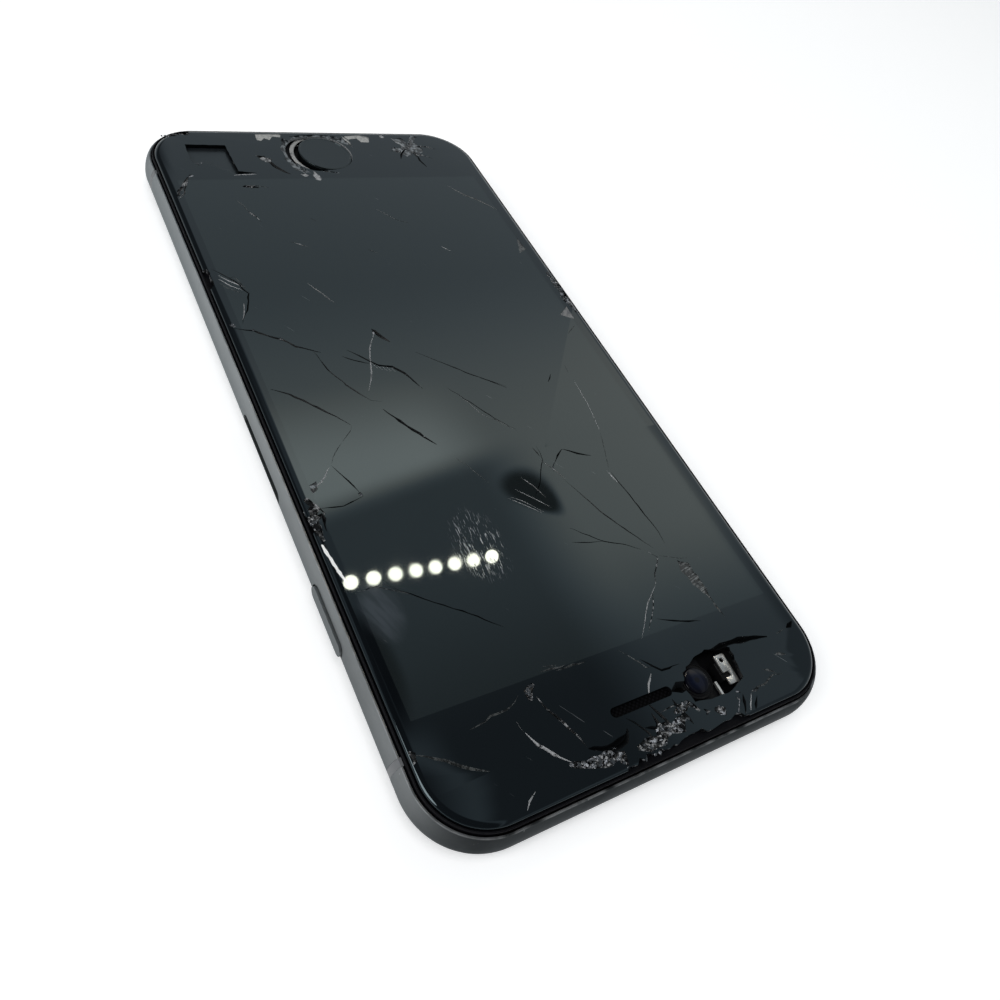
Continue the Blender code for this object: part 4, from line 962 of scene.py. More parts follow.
@dataclass
class BodyPlan:
    """The sizes that pieces share, read from the CAD nodes' boxes."""

    widest_height: float = 3.3 * MM
    corner_radius: float = 10.2 * MM
    corner_steps: int = 28
    half_width: float = field(init=False)
    half_length: float = field(init=False)
    rim_z: float = field(init=False)
    glass_low: Vector = field(init=False)
    glass_high: Vector = field(init=False)

    def __post_init__(self) -> None:
        """Reads the boxes of the housing and of the glass."""
        low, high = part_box("rear_housing")
        self.half_width = (high.x - low.x) / 2
        self.half_length = (high.y - low.y) / 2
        self.rim_z = high.z
        self.glass_low, self.glass_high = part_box("cover_glass")

    def block(self, name: str, inset: float, low_z: float, high_z: float) -> bpy.types.Object:
        """A block with the outline of the body.

        Args:
            name: the object's name.
            inset: how far its outline lies inside the widest outline.
            low_z: the height of its underside.
            high_z: the height of its top.

        Returns:
            The object.
        """
        half = Vector((self.half_width - inset, self.half_length - inset, 0.0))
        low = -half + UP * low_z
        high = half + UP * high_z
        return rounded_block(name, low, high, self.corner_radius - inset, self.corner_steps)


@dataclass
class Housing:
    """The metal shell with its slots and holes, and the plastic bands let into it."""

    plan: BodyPlan
    back_round: float = 3.6 * MM
    rim_round: float = 1.6 * MM
    rim_arc: float = 0.84
    belt: float = 0.06 * MM
    back_steps: int = 14
    rim_steps: int = 9
    rim_land: float = 0.19 * MM
    rim_chamfer: float = 0.06 * MM
    side_wall: float = 2.3 * MM
    floor_z: float = 0.8 * MM
    floor_chamfer: float = 0.5 * MM
    ledge_z: float = 4.7 * MM
    key_clearance: float = 0.2 * MM
    band_groove: float = 1.1 * MM
    band_gap: float = 0.02 * MM
    band_depth: float = 0.4 * MM
    slot_along: Point = (-0.7 * MM, 15.5 * MM)
    slot_heights: Point = (2.15 * MM, 4.25 * MM)
    hole_steps: int = 10
    port_z: float = 3.0 * MM
    port_size: Point = (8.6 * MM, 2.4 * MM)
    sound_hole: float = 0.65 * MM
    sound_pitch: float = 2.1 * MM
    sound_first: float = 10.5 * MM
    sound_count: int = 6
    screw_hole: float = 0.9 * MM
    rear_mic: float = 0.4 * MM
    mic_share: float = 0.625
    hole_gap: float = 0.1 * MM
    port_spare: float = 0.05 * MM

    def outer_form(self, name: str, inset: float) -> bpy.types.Object:
        """The outside of the shell as a closed solid, up to the rim.

        Args:
            name: the object's name.
            inset: how far it lies inside the real surface.

        Returns:
            The object.
        """
        middle = self.plan.widest_height
        form = self.plan.block(name, inset, middle - self.belt / 2, middle + self.belt / 2)
        drop = middle - inset - self.belt / 2
        terrace(form, DOWN, arc_steps(self.back_round - inset, drop, self.back_steps, 1.0))
        rise = self.plan.rim_z - middle - self.belt / 2
        terrace(form, UP, arc_steps(self.rim_round, rise, self.rim_steps, self.rim_arc))
        return form

    def build(self) -> None:
        """Makes the shell and its bands."""
        shell = self.outer_form("metal_shell", 0.0)
        inner = self.rim_land + self.rim_chamfer
        rim_inset = self.rim_round * (1 - math.sqrt(1 - self.rim_arc**2))
        ledge_width = self.side_wall - rim_inset - inner
        steps = [
            (self.rim_land, 0.0),
            (self.rim_chamfer, -self.rim_chamfer),
            (0.0, self.ledge_z - self.plan.rim_z + self.rim_chamfer),
            (ledge_width, 0.0),
            (0.0, self.floor_z + self.floor_chamfer - self.ledge_z),
            (self.floor_chamfer, -self.floor_chamfer),
        ]
        terrace(shell, UP, steps)
        coat(shell, ALUMINIUM)
        holes = [*self._flank_holes(), *self._port_end_holes(), *self._back_holes()]
        for tool in [*holes, *self._band_grooves()]:
            combine(shell, coat(tool, ALUMINIUM))
        present(shell, "housing_metal", HANDSET, "rear_housing")
        for end in BAND_ENDS:
            self._band(end)

    def _flank_holes(self) -> list[bpy.types.Object]:
        """The card slot and the holes of the keys."""
        inner = self.plan.half_width - self.side_wall - self.key_clearance
        outer = self.plan.half_width + MM
        tools = [flank_pill("slot tool", (inner, outer), self.slot_along, self.slot_heights, self.hole_steps)]
        for key, face in KEY_FACES.items():
            centre = NodeBox.of(key).centre
            side = math.copysign(1.0, centre.x)
            half = face.length / 2 + self.key_clearance
            along = (centre.y - half, centre.y + half)
            heights = (KEY_HOLE_Z - KEY_HOLE_HEIGHT / 2, KEY_HOLE_Z + KEY_HOLE_HEIGHT / 2)
            across = (side * inner, side * outer)
            tools.append(flank_pill("key tool", across, along, heights, self.hole_steps))
        return tools

    def _port_end_holes(self) -> list[bpy.types.Object]:
        """The port's mouth, the end screws' holes and the rows of sound holes."""
        outer = -self.plan.half_length - MM
        inner = -self.plan.half_length + self.side_wall + self.key_clearance
        half_x, half_z = self.port_size[0] / 2, self.port_size[1] / 2
        low = Vector((-half_x, outer, self.port_z - half_z))
        high = Vector((half_x, inner, self.port_z + half_z))
        tools = [rounded_block("port tool", low, high, half_z - self.port_spare, self.hole_steps, axis=1)]
        holes = [(self.sound_first + n * self.sound_pitch, self.sound_hole) for n in range(self.sound_count)]
        holes.append((abs(NodeBox.of("bottom_screw_left").centre.x), self.screw_hole))
        for side in (-1, 1):
            for x, radius in holes:
                start = Vector((side * x, outer, self.port_z))
                end = Vector((side * x, inner, self.port_z))
                tools.append(bore("hole tool", radius, start, end, 32))
        return tools

    def _back_holes(self) -> list[bpy.types.Object]:
        """The round holes in the back for the camera, the flash and the small microphone."""
        rounds = [NodeBox.of(node) for node in ("rear_camera_trim", "flash_lens")]
        top = self.floor_z + self.hole_gap
        tools = [bore("back tool", box.radius + self.hole_gap, box.at(-MM), box.at(top)) for box in rounds]
        place = rounds[0].centre * (1 - self.mic_share) + rounds[1].centre * self.mic_share
        ends = [Vector((place.x, place.y, z)) for z in (-MM, MM)]
        tools.append(bore("mic tool", self.rear_mic, *ends, 20))
        return tools

    def _ring_slab(self, name: str, y: float, width: float, depth: float, outside: bool) -> bpy.types.Object:
        """A slab across the body with its middle taken out, so that only a band at the surface is left.

        Args:
            name: the object's name.
            y: the middle of the band.
            width: its width along Y.
            depth: how far it reaches in from the surface.
            outside: whether it also reaches outside the body, as a cutter does.

        Returns:
            The object.
        """
        spare = MM if outside else 0.0
        reach = self.plan.half_width + MM
        low = Vector((-reach, y - width / 2, -MM))
        slab = rounded_block(name, low, Vector((reach, y + width / 2, self.plan.rim_z + spare)), 0.0, 1)
        if not outside:
            combine(slab, self.outer_form("band outside", 0.0), "INTERSECT")
        core = self.outer_form("band core", depth)
        terrace(core, UP, [(0.0, 2 * MM + spare)])
        return combine(slab, core)

    def _band_grooves(self) -> list[bpy.types.Object]:
        """Cutters of the grooves that the bands lie in."""
        ys = [self._band_y(end) for end in BAND_ENDS]
        return [self._ring_slab("groove tool", y, self.band_groove, self.band_depth, True) for y in ys]

    @staticmethod
    def _band_y(end: str) -> float:
        """Where a band crosses the body."""
        return NodeBox.of(f"antenna_band_{end}").centre.y

    def _band(self, end: str) -> None:
        """One plastic band, flush with the metal."""
        width = self.band_groove - 2 * self.band_gap
        depth = self.band_depth - self.band_gap
        band = self._ring_slab(f"flush_band_{end}", self._band_y(end), width, depth, False)
        present(coat(band, BAND_PLASTIC), "band_plastic", HANDSET, f"antenna_band_{end}")


@dataclass(frozen=True)
class KeyFace:
    """The face of a key in the flank, and how far it stands proud."""

    length: float
    height: float = 2.1 * MM
    proud: float = 0.25 * MM


KEY_HOLE_Z = 3.35 * MM
KEY_HOLE_HEIGHT = 2.5 * MM
KEY_FACES = {
    "side_button": KeyFace(10.4 * MM),
    "volume_up_button": KeyFace(9.2 * MM),
    "volume_down_button": KeyFace(9.2 * MM),
    "ring_switch": KeyFace(5.6 * MM, 1.2 * MM, 0.1 * MM),
}


@dataclass
class FlankKeys:
    """The keys in the flanks and the lever of the ring switch."""

    plan: BodyPlan
    face_steps: int = 12
    face_inset: float = 0.022 * MM
    face_ease: float = 0.132 * MM
    flange: float = 0.6 * MM
    flange_steps: int = 8
    rib_half: float = 1.6 * MM
    rib_radius: float = 0.09 * MM

    def build(self) -> None:
        """Makes each key on its own body."""
        for node, face in KEY_FACES.items():
            box = NodeBox.of(node)
            centre = box.centre
            side = math.copysign(1.0, centre.x)
            inner = min(abs(box.low.x), abs(box.high.x))
            outer = self.plan.half_width + face.proud
            is_lever = node == "ring_switch"
            stem = inner + (0.0 if is_lever else self.flange)
            along = (centre.y - face.length / 2, centre.y + face.length / 2)
            heights = (centre.z - face.height / 2, centre.z + face.height / 2)
            name = f"{node}_cap"
            key = flank_pill(name, (side * stem, side * outer), along, heights, self.face_steps)
            terrace(key, Vector((side, 0.0, 0.0)), [(self.face_inset, 0.0)])
            ease_edges(key, self.face_ease, 3)
            if is_lever:
                self._rib(key, Vector((side * outer, centre.y, centre.z)))
            else:
                ends, z_ends = (box.low.y, box.high.y), (box.low.z, box.high.z)
                reach = (side * inner, side * stem)
                join([key, flank_pill("flange", reach, ends, z_ends, self.flange_steps)], name)
            present(coat(key, KEY_METAL), "housing_metal", node, node)

    def _rib(self, lever: bpy.types.Object, middle: Vector) -> None:
        """A shallow finger groove along the lever."""
        half = Vector((0.0, self.rib_half, 0.0))
        combine(lever, bore("rib tool", self.rib_radius, middle - half, middle + half, 16))


class Tone(Enum):
    """How the walls of a crack look."""

    DARK = DARK_FRACTURE
    MIXED = MIXED_FRACTURE
    PALE = PALE_FRACTURE
    FAINT = FAINT_FRACTURE
    GRIT = GRIT


@dataclass(frozen=True)
class Crack:
    """One crack in the glass: its route and width in millimetres, and how its walls look."""

    route: tuple[Point, ...]
    width: float = 0.2
    tone: Tone = Tone.DARK
    wander: float = 0.05


@dataclass(frozen=True)
class Chip:
    """A flake that came off the top of the glass: its outline in millimetres, its depth, and its look."""

    outline: tuple[Point, ...]
    depth: float = 0.12
    finish: Finish = PALE_FRACTURE
    wander: float = 0.08


CRACKS = (
    Crack(((31.8, -15.2), (28.2, -14.1), (25.7, -12.2), (22.2, -9.4), (19.6, -7.9)), 0.24),
    Crack(((20.7, -8.3), (19.5, -3.4), (16.8, 1.5), (15.5, 3.2), (14.0, 3.7)), 0.16),
    Crack(((14.4, 5.2), (11.5, 10.1), (9.0, 13.6)), 0.34, wander=0.02),
    Crack(((15.4, -7.8), (13.5, -5.8), (11.6, -3.7), (9.5, -3.0), (8.1, -1.4), (6.4, 2.4)), 0.28,
        wander=0.02),
    Crack(((16.6, -6.6), (14.2, -5.0), (12.4, -4.2)), 0.16),
    Crack(((9.4, -11.1), (11.6, -7.4), (12.6, -4.5), (13.5, -1.9), (15.2, 1.3)), 0.22, Tone.PALE, 0.02),
    Crack(((7.6, -8.4), (8.6, -9.8), (9.6, -11.0)), 0.4, wander=0.02),
    Crack(((29.5, -1.8), (27.1, -0.3), (24.1, 2.8), (22.0, 5.1), (20.3, 7.3)), 0.24, wander=0.02),
    Crack(((20.3, 7.5), (20.9, 8.4), (22.7, 10.0)), 0.12, Tone.FAINT),
    Crack(((22.9, 10.2), (25.6, 13.5)), 0.12, Tone.FAINT),
    Crack(((25.8, 13.8), (24.4, 17.0), (23.5, 19.6)), 0.15, wander=0.02),
    Crack(((23.4, 20.0), (26.6, 20.9), (29.7, 20.5)), 0.15, wander=0.02),
    Crack(((26.1, 14.0), (28.1, 16.2), (29.9, 17.6)), 0.2, Tone.PALE),
    Crack(((30.8, 18.4), (29.5, 21.4), (30.9, 22.4)), 0.3, Tone.MIXED),
    Crack(((30.6, -28.8), (28.0, -25.8), (26.5, -22.5), (27.8, -18.8), (29.4, -15.9)), 0.22),
    Crack(((30.0, -27.2), (28.6, -25.6), (27.0, -24.2)), 0.26, Tone.PALE),
    Crack(((27.9, -20.4), (28.4, -18.6), (29.2, -16.6)), 0.16, Tone.PALE),
    Crack(((16.3, -23.9), (15.2, -21.9), (13.4, -18.7)), 0.22, Tone.FAINT, 0.02),
    Crack(((15.7, -34.6), (14.3, -33.8), (13.0, -33.0)), 0.2, Tone.MIXED),
    Crack(((20.3, -43.1), (19.4, -41.6), (19.0, -40.2)), 0.3, Tone.MIXED),
    Crack(((21.6, -46.5), (20.6, -44.6), (20.2, -42.6)), 0.14, Tone.FAINT),
    Crack(((18.9, -50.6), (16.6, -50.4), (14.5, -49.8)), 0.28, Tone.FAINT),
    Crack(((12.4, -58.3), (11.0, -55.5), (9.2, -53.7)), 0.62),
    Crack(((-14.2, -61.1), (-17.4, -61.9), (-20.4, -60.0), (-22.6, -58.6)), 0.34, Tone.MIXED, 0.1),
    Crack(((-16.1, -65.6), (-17.2, -64.0), (-18.4, -62.4)), 0.4, Tone.PALE, 0.1),
    Crack(((-18.6, -62.2), (-19.6, -59.0), (-20.1, -55.6)), 0.32, wander=0.1),
    Crack(((-18.4, -62.2), (-16.6, -60.6), (-15.4, -58.4)), 0.34, wander=0.1),
    Crack(((-18.8, -62.2), (-22.0, -62.8), (-25.0, -62.0)), 0.3, Tone.MIXED, 0.1),
    Crack(((-21.9, -49.4), (-24.2, -46.5), (-27.0, -44.1), (-29.6, -41.2)), 0.3, Tone.FAINT, 0.03),
    Crack(((-3.2, -43.0), (-6.1, -39.7), (-8.6, -38.0)), 0.14, Tone.FAINT),
    Crack(((-12.2, -31.0), (-13.4, -29.6)), 0.24, Tone.PALE),
    Crack(((9.9, -40.6), (9.1, -39.8)), 0.5),
    Crack(((2.6, -31.4), (1.0, -30.3)), 0.16, Tone.FAINT),
    Crack(((-28.9, -7.1), (-26.3, -5.3)), 0.12, Tone.FAINT),
    Crack(((-21.4, 2.0), (-21.2, 3.6)), 0.22),
    Crack(((-17.6, 3.4), (-16.2, 5.0)), 0.24),
    Crack(((-21.3, 5.5), (-20.8, 11.9), (-19.8, 17.2)), 0.12, Tone.PALE, 0.01),
    Crack(((-19.8, 17.2), (-18.4, 21.0), (-16.8, 25.0)), 0.1, Tone.FAINT, 0.01),
    Crack(((-17.0, 25.2), (-17.3, 28.0), (-17.9, 32.3), (-18.5, 37.5), (-18.3, 39.8)), 0.15, wander=0.02),
    Crack(((-16.6, 25.2), (-17.1, 27.4)), 0.26, Tone.PALE),
    Crack(((-6.1, 17.7), (-6.5, 19.6)), 0.2),
    Crack(((-6.1, 20.1), (-7.4, 22.2), (-8.5, 24.6)), 0.18, Tone.MIXED, 0.03),
    Crack(((-8.2, 21.4), (-9.6, 20.0), (-11.0, 19.0)), 0.18, wander=0.02),
    Crack(((-11.0, 19.0), (-13.2, 20.4), (-15.4, 21.4)), 0.22, wander=0.03),
    Crack(((-8.2, 24.6), (-9.6, 28.1), (-10.9, 31.5), (-13.1, 35.4), (-14.7, 38.1), (-15.9, 40.0)), 0.15,
        wander=0.02),
    Crack(((1.2, 4.5), (-1.1, 9.5), (-3.6, 12.0), (-5.1, 13.8)), 0.12, Tone.FAINT),
    Crack(((4.3, -5.5), (1.4, -3.0), (-3.2, 1.0), (-8.0, 4.6)), 0.14, wander=0.02),
    Crack(((-4.2, 1.9), (-6.0, 3.2), (-8.0, 4.9)), 0.12),
    Crack(((7.2, 16.6), (5.5, 19.7), (4.1, 22.4)), 0.1, Tone.FAINT),
    Crack(((2.1, 25.5), (0.6, 26.6), (-1.8, 29.4)), 0.09, Tone.PALE, 0.01),
    Crack(((0.8, 24.2), (-1.4, 26.6), (-3.4, 28.9)), 0.1, Tone.PALE, 0.01),
    Crack(((-1.2, 22.4), (-2.6, 24.6), (-3.4, 27.0)), 0.14, Tone.MIXED, 0.02),
    Crack(((-4.3, 33.0), (-8.4, 36.6), (-11.4, 38.0), (-13.7, 39.6)), 0.12, wander=0.02),
    Crack(((-3.4, 35.4), (-6.2, 36.2), (-8.4, 36.6)), 0.1, wander=0.01),
    Crack(((-14.6, 40.3), (-15.6, 41.6), (-13.4, 44.0), (-12.5, 45.6)), 0.2, Tone.MIXED, 0.03),
    Crack(((-12.5, 45.6), (-9.4, 47.9), (-5.3, 52.5)), 0.13, Tone.PALE, 0.02),
    Crack(((-11.7, 46.0), (-9.6, 49.1), (-7.0, 51.8)), 0.13, Tone.MIXED, 0.02),
    Crack(((-9.3, 50.5), (-12.8, 52.0), (-16.0, 53.0)), 0.18, wander=0.02),
    Crack(((-15.9, 41.4), (-18.2, 42.4), (-20.5, 43.1)), 0.12, Tone.FAINT),
    Crack(((-30.9, 57.8), (-29.2, 58.4)), 0.55),
    Crack(((-25.0, 58.6), (-22.9, 58.1), (-18.9, 57.5), (-15.5, 57.5), (-12.9, 57.9)), 0.7, wander=0.02),
    Crack(((-28.6, 58.5), (-26.8, 58.7)), 0.24, Tone.FAINT),
    Crack(((-8.6, 57.6), (-5.4, 57.5), (-3.2, 55.1)), 0.2, wander=0.03),
    Crack(((-3.6, 57.4), (-2.4, 58.6), (-1.4, 60.2)), 0.4, Tone.PALE, 0.03),
    Crack(((-4.6, 56.6), (-3.4, 56.4), (-1.8, 54.0), (-0.8, 52.8)), 0.16, Tone.FAINT),
    Crack(((13.5, 54.9), (12.9, 57.1), (11.5, 60.1), (10.5, 63.0)), 0.3, Tone.MIXED, 0.06),
    Crack(((10.4, 63.2), (8.6, 63.9), (6.8, 64.1), (4.0, 63.2)), 0.6, wander=0.04),
    Crack(((17.2, 58.5), (16.4, 60.4), (15.0, 62.2), (13.2, 64.0)), 0.36, Tone.PALE, 0.04),
    Crack(((17.6, 56.9), (17.4, 58.3)), 0.2, Tone.FAINT),
    Crack(((31.0, 56.3), (30.0, 56.8), (28.0, 58.1), (26.0, 59.8), (23.5, 61.2)), 0.34, Tone.FAINT, 0.03),
    Crack(((15.8, 53.9), (18.0, 55.1), (20.4, 55.1), (23.7, 55.8)), 0.22, Tone.FAINT, 0.08),
    Crack(((19.4, 65.3), (20.6, 66.0), (21.4, 66.9)), 0.24, Tone.PALE),
    Crack(((3.4, 61.6), (2.0, 63.4), (1.2, 65.4)), 0.24, wander=0.08),
    Crack(((-0.6, 60.6), (-1.6, 63.0), (-2.2, 65.8)), 0.3, wander=0.08),
    Crack(((-4.4, 61.6), (-4.6, 63.8), (-3.8, 65.8)), 0.3, wander=0.08),
    Crack(((-1.8, 62.6), (-4.4, 62.4), (-7.2, 63.6)), 0.24, Tone.MIXED, 0.08),
    Crack(((26.2, 33.9), (22.4, 37.0), (19.6, 39.2), (16.8, 41.4), (13.1, 44.7)), 0.14, wander=0.02),
    Crack(((31.0, -47.2), (29.0, -50.6), (27.2, -53.6)), 0.34, Tone.MIXED, 0.12),
    Crack(((12.4, -4.3), (11.9, -3.0)), 0.2, Tone.PALE),
    Crack(((11.8, -3.8), (11.2, -2.5)), 0.2, Tone.PALE),
    Crack(((11.1, -3.5), (10.6, -2.3)), 0.2, Tone.PALE),
    Crack(((10.4, -3.2), (10.0, -2.0)), 0.2, Tone.PALE),
    Crack(((9.7, -2.9), (9.4, -1.9)), 0.2, Tone.PALE),
    Crack(((28.9, -26.4), (27.6, -26.6), (26.6, -23.6)), 0.18, Tone.FAINT),
    Crack(((30.2, -26.4), (28.8, -24.6), (27.2, -23.4)), 0.16, Tone.PALE),
    Crack(((30.4, -25.4), (29.0, -23.8), (27.3, -22.6)), 0.14, Tone.FAINT),
    Crack(((19.8, -53.6), (17.8, -53.8), (15.6, -53.9)), 0.3, Tone.PALE, 0.06),
    Crack(((-6.9, 17.4), (-6.9, 18.9), (-6.6, 20.3), (-5.2, 22.2), (-4.2, 23.9), (-1.6, 26.8)), 0.14,
        wander=0.04),
    Crack(((-8.4, 21.1), (-7.7, 21.8), (-7.3, 22.8)), 0.3, Tone.GRIT, 0.04),
    Crack(((-16.4, 24.8), (-16.6, 26.2)), 0.36, Tone.GRIT, 0.03),
    Crack(((2.6, 25.6), (0.6, 27.4), (-1.4, 29.4)), 0.1, Tone.PALE, 0.01),
    Crack(((2.4, 2.8), (-0.1, 6.5), (-2.7, 10.7), (-5.2, 13.5)), 0.12, wander=0.03),
    Crack(((9.6, -11.8), (8.8, -10.3), (7.9, -9.0)), 0.34, wander=0.02),
    Crack(((-5.0, 60.6), (-6.4, 60.4), (-8.6, 60.6)), 1.0, wander=0.02),
    Crack(((-14.6, 64.6), (-13.2, 66.2), (-12.4, 67.2)), 0.2, Tone.GRIT, 0.02),
    Crack(((-15.2, 64.6), (-14.4, 66.2), (-13.6, 67.4)), 0.34, wander=0.02),
    Crack(((-16.6, 64.9), (-15.4, 66.3), (-14.6, 67.4)), 0.18, Tone.PALE, 0.02),
    Crack(((-17.2, 65.6), (-16.2, 66.6), (-15.6, 67.4)), 0.3, wander=0.02),
    Crack(((-0.4, 62.2), (-0.6, 63.8), (0.6, 65.2)), 0.42, wander=0.06),
    Crack(((-5.6, 62.3), (-4.8, 63.8), (-5.4, 65.6)), 0.42, wander=0.06),
    Crack(((4.0, 62.8), (5.0, 64.2), (7.4, 64.6), (9.8, 63.6)), 0.5, wander=0.06),
    Crack(((-1.8, 63.9), (0.0, 64.2), (1.6, 63.6)), 0.36, wander=0.06),
    Crack(((-16.9, 64.8), (-19.6, 64.6), (-23.4, 64.3)), 0.3, Tone.FAINT, 0.2),
    Crack(((31.8, 25.8), (31.4, 22.4), (29.9, 21.4), (30.2, 24.2)), 0.4, wander=0.08),
    Crack(((11.4, 52.0), (9.6, 52.1), (7.6, 52.3)), 0.34, Tone.FAINT, 0.05),
    Crack(((9.2, 52.6), (6.6, 52.6), (4.6, 52.8)), 0.26, Tone.FAINT, 0.05),
    Crack(((10.6, 51.5), (8.8, 51.9)), 0.2, Tone.FAINT, 0.05),
    Crack(((29.9, 34.0), (27.0, 34.1), (22.6, 36.6)), 0.16, Tone.FAINT, 0.03),
)

CHIPS = (
    Chip(((-29.6, -32.4), (-29.8, -28.7), (-27.9, -27.8)), 0.06, FAINT_FRACTURE, 0.02),
    Chip(((-30.0, -12.2), (-29.9, -8.7), (-27.4, -10.2)), 0.08, DULL_POCKET, 0.02),
    Chip(((-18.5, 43.0), (-20.1, 43.9), (-20.3, 47.6), (-20.0, 50.9), (-18.8, 48.0), (-18.0, 44.9)), 0.14,
        RIBBED_FRACTURE),
    Chip(((-20.0, 50.6), (-20.3, 53.6), (-19.7, 51.6)), 0.08, FAINT_FRACTURE, 0.02),
    Chip(((14.1, -59.6), (13.1, -57.9), (11.9, -57.2), (11.3, -58.3), (12.5, -59.5)), 0.2, MIXED_FRACTURE,
        0.14),
    Chip(((-20.9, -67.0), (-22.4, -66.1), (-20.8, -64.2), (-21.6, -61.2), (-20.2, -59.2), (-19.0, -60.6),
        (-17.2, -59.2), (-16.4, -60.6), (-14.6, -60.9), (-15.0, -62.4), (-17.2, -62.6), (-16.6, -65.4),
        (-17.9, -65.9), (-18.9, -63.6)), 0.1, BLOTCH, 0.2),
    Chip(((7.0, -65.6), (8.5, -62.0), (8.7, -57.9), (7.7, -54.8), (5.2, -53.9), (6.6, -56.4), (7.4, -60.4),
        (6.2, -64.4)), 0.4, BLOTCH, 0.12),
    Chip(((5.6, -65.9), (2.6, -66.5), (-2.2, -66.5), (-5.6, -65.4), (-6.6, -62.6), (-5.4, -63.4),
        (-3.4, -65.0), (0.0, -65.8), (3.4, -65.2)), 0.25, BLOTCH, 0.06),
    Chip(((4.4, -55.2), (3.7, -53.2), (4.0, -51.7), (4.9, -52.0), (5.0, -53.4)), 0.14, PALE_FRACTURE, 0.12),
    Chip(((2.8, -55.1), (-0.3, -54.2), (-0.6, -53.8), (2.6, -54.5)), 0.14, BLOTCH, 0.06),
    Chip(((7.4, -53.8), (6.6, -52.9), (5.8, -53.3), (6.4, -54.0)), 0.12, PALE_FRACTURE, 0.06),
    Chip(((-5.4, -66.2), (-6.4, -64.6), (-6.4, -62.4), (-5.6, -64.2)), 0.12, BRIGHT_POCKET, 0.04),
    Chip(((31.6, 55.5), (30.9, 56.0), (31.1, 57.0), (31.7, 57.2)), 0.2, MIXED_FRACTURE, 0.1),
    Chip(((28.7, 15.9), (29.9, 16.4), (29.9, 17.9), (29.0, 17.3)), 0.08, BLOTCH, 0.06),
    Chip(((23.4, 19.2), (23.9, 19.3), (23.8, 19.8), (23.3, 19.9)), 0.16, GRIT),
    Chip(((25.1, -11.9), (24.7, -12.1), (24.3, -11.6), (24.6, -11.5)), 0.12, GRIT),
    Chip(((28.5, -14.4), (28.2, -14.5), (28.0, -14.2), (28.3, -14.1)), 0.12, GRIT),
    Chip(((9.3, -11.2), (9.6, -11.3), (9.8, -10.6), (9.5, -10.5)), 0.12, GRIT),
    # A painted glint along the edge above the notch.
    Chip(((31.75, 25.9), (31.35, 26.1), (30.9, 29.0), (30.3, 32.4), (30.6, 32.7), (31.3, 29.4)), 0.1, PAINTED_GLINT,
        0.03),
    Chip(((31.5, -15.9), (31.0, -15.2), (30.5, -15.4), (30.9, -16.1)), 0.14, GRIT),
    Chip(((32.0, -29.0), (31.3, -28.6), (31.4, -28.0)), 0.14, GRIT),
    Chip(((27.6, -53.2), (26.9, -53.5), (27.0, -54.0), (27.7, -53.8)), 0.12, GRIT),
    Chip(((12.1, -66.5), (7.1, -66.6), (7.4, -65.5), (8.9, -65.8), (9.8, -64.6), (10.7, -65.2),
        (11.5, -64.3), (12.3, -64.6)), 0.08, BRIGHT_POCKET, 0.01),
    Chip(((-5.9, -66.2), (-9.3, -66.6), (-11.2, -65.9), (-10.6, -64.1), (-8.9, -64.2), (-8.4, -65.5),
        (-6.4, -65.0)), 0.08, BRIGHT_POCKET, 0.01),
    Chip(((-13.7, -66.7), (-14.0, -65.7), (-14.8, -65.9), (-14.4, -66.7)), 0.12, PALE_FRACTURE, 0.02),
    Chip(((-20.6, 62.6), (-21.4, 63.2), (-22.6, 63.9), (-21.6, 62.8)), 0.08, FAINT_FRACTURE),
    Chip(((-24.2, 61.4), (-25.4, 61.9), (-26.2, 62.0), (-25.0, 61.2)), 0.06, FAINT_FRACTURE),
)

STEPPED_HOLE = (
    (26.0, -63.0), (18.8, -62.8), (18.6, -54.8), (15.4, -54.2), (19.6, -53.9), (22.0, -55.8), (24.2, -57.6),
    (25.2, -56.4), (26.2, -57.8),
)
EDGE_NOTCHES = (
    ((34.0, -32.0), (31.4, -28.8), (31.2, -25.0), (34.0, -23.2)),
    ((34.0, 18.6), (31.9, 20.2), (31.6, 23.6), (34.0, 25.4)),
    ((-34.0, -21.6), (-31.2, -19.6), (-31.0, -14.6), (-34.0, -11.4)),
    ((29.4, -69.0), (27.2, -66.0), (24.6, -65.9), (23.8, -69.0)),
    ((7.4, 69.0), (6.6, 67.2), (2.6, 66.8), (-1.0, 66.9), (-4.6, 66.6), (-9.0, 67.0), (-13.2, 66.8),
        (-17.4, 69.0)),
)
HOME_BREAK = (
    (75, 0.7), (90, 0.4), (112, 0.22), (135, 0.16), (157, 0.14), (180, 0.14), (202, 0.14), (225, 0.16),
    (247, 0.22), (270, 0.4), (290, 0.8), (305, 1.3), (318, 1.9), (336, 2.3), (350, 2.5), (5, 2.6),
    (20, 2.5), (35, 2.4), (50, 2.1), (62, 1.6),
)
CAMERA_VOID = (
    (1.9, -1.5), (-1.1, -2.9), (-3.5, -3.4), (-7.7, -2.4), (-6.9, 2.1), (-3.3, 3.3), (-0.1, 3.2),
    (2.6, 2.7), (2.9, 0.9),
)


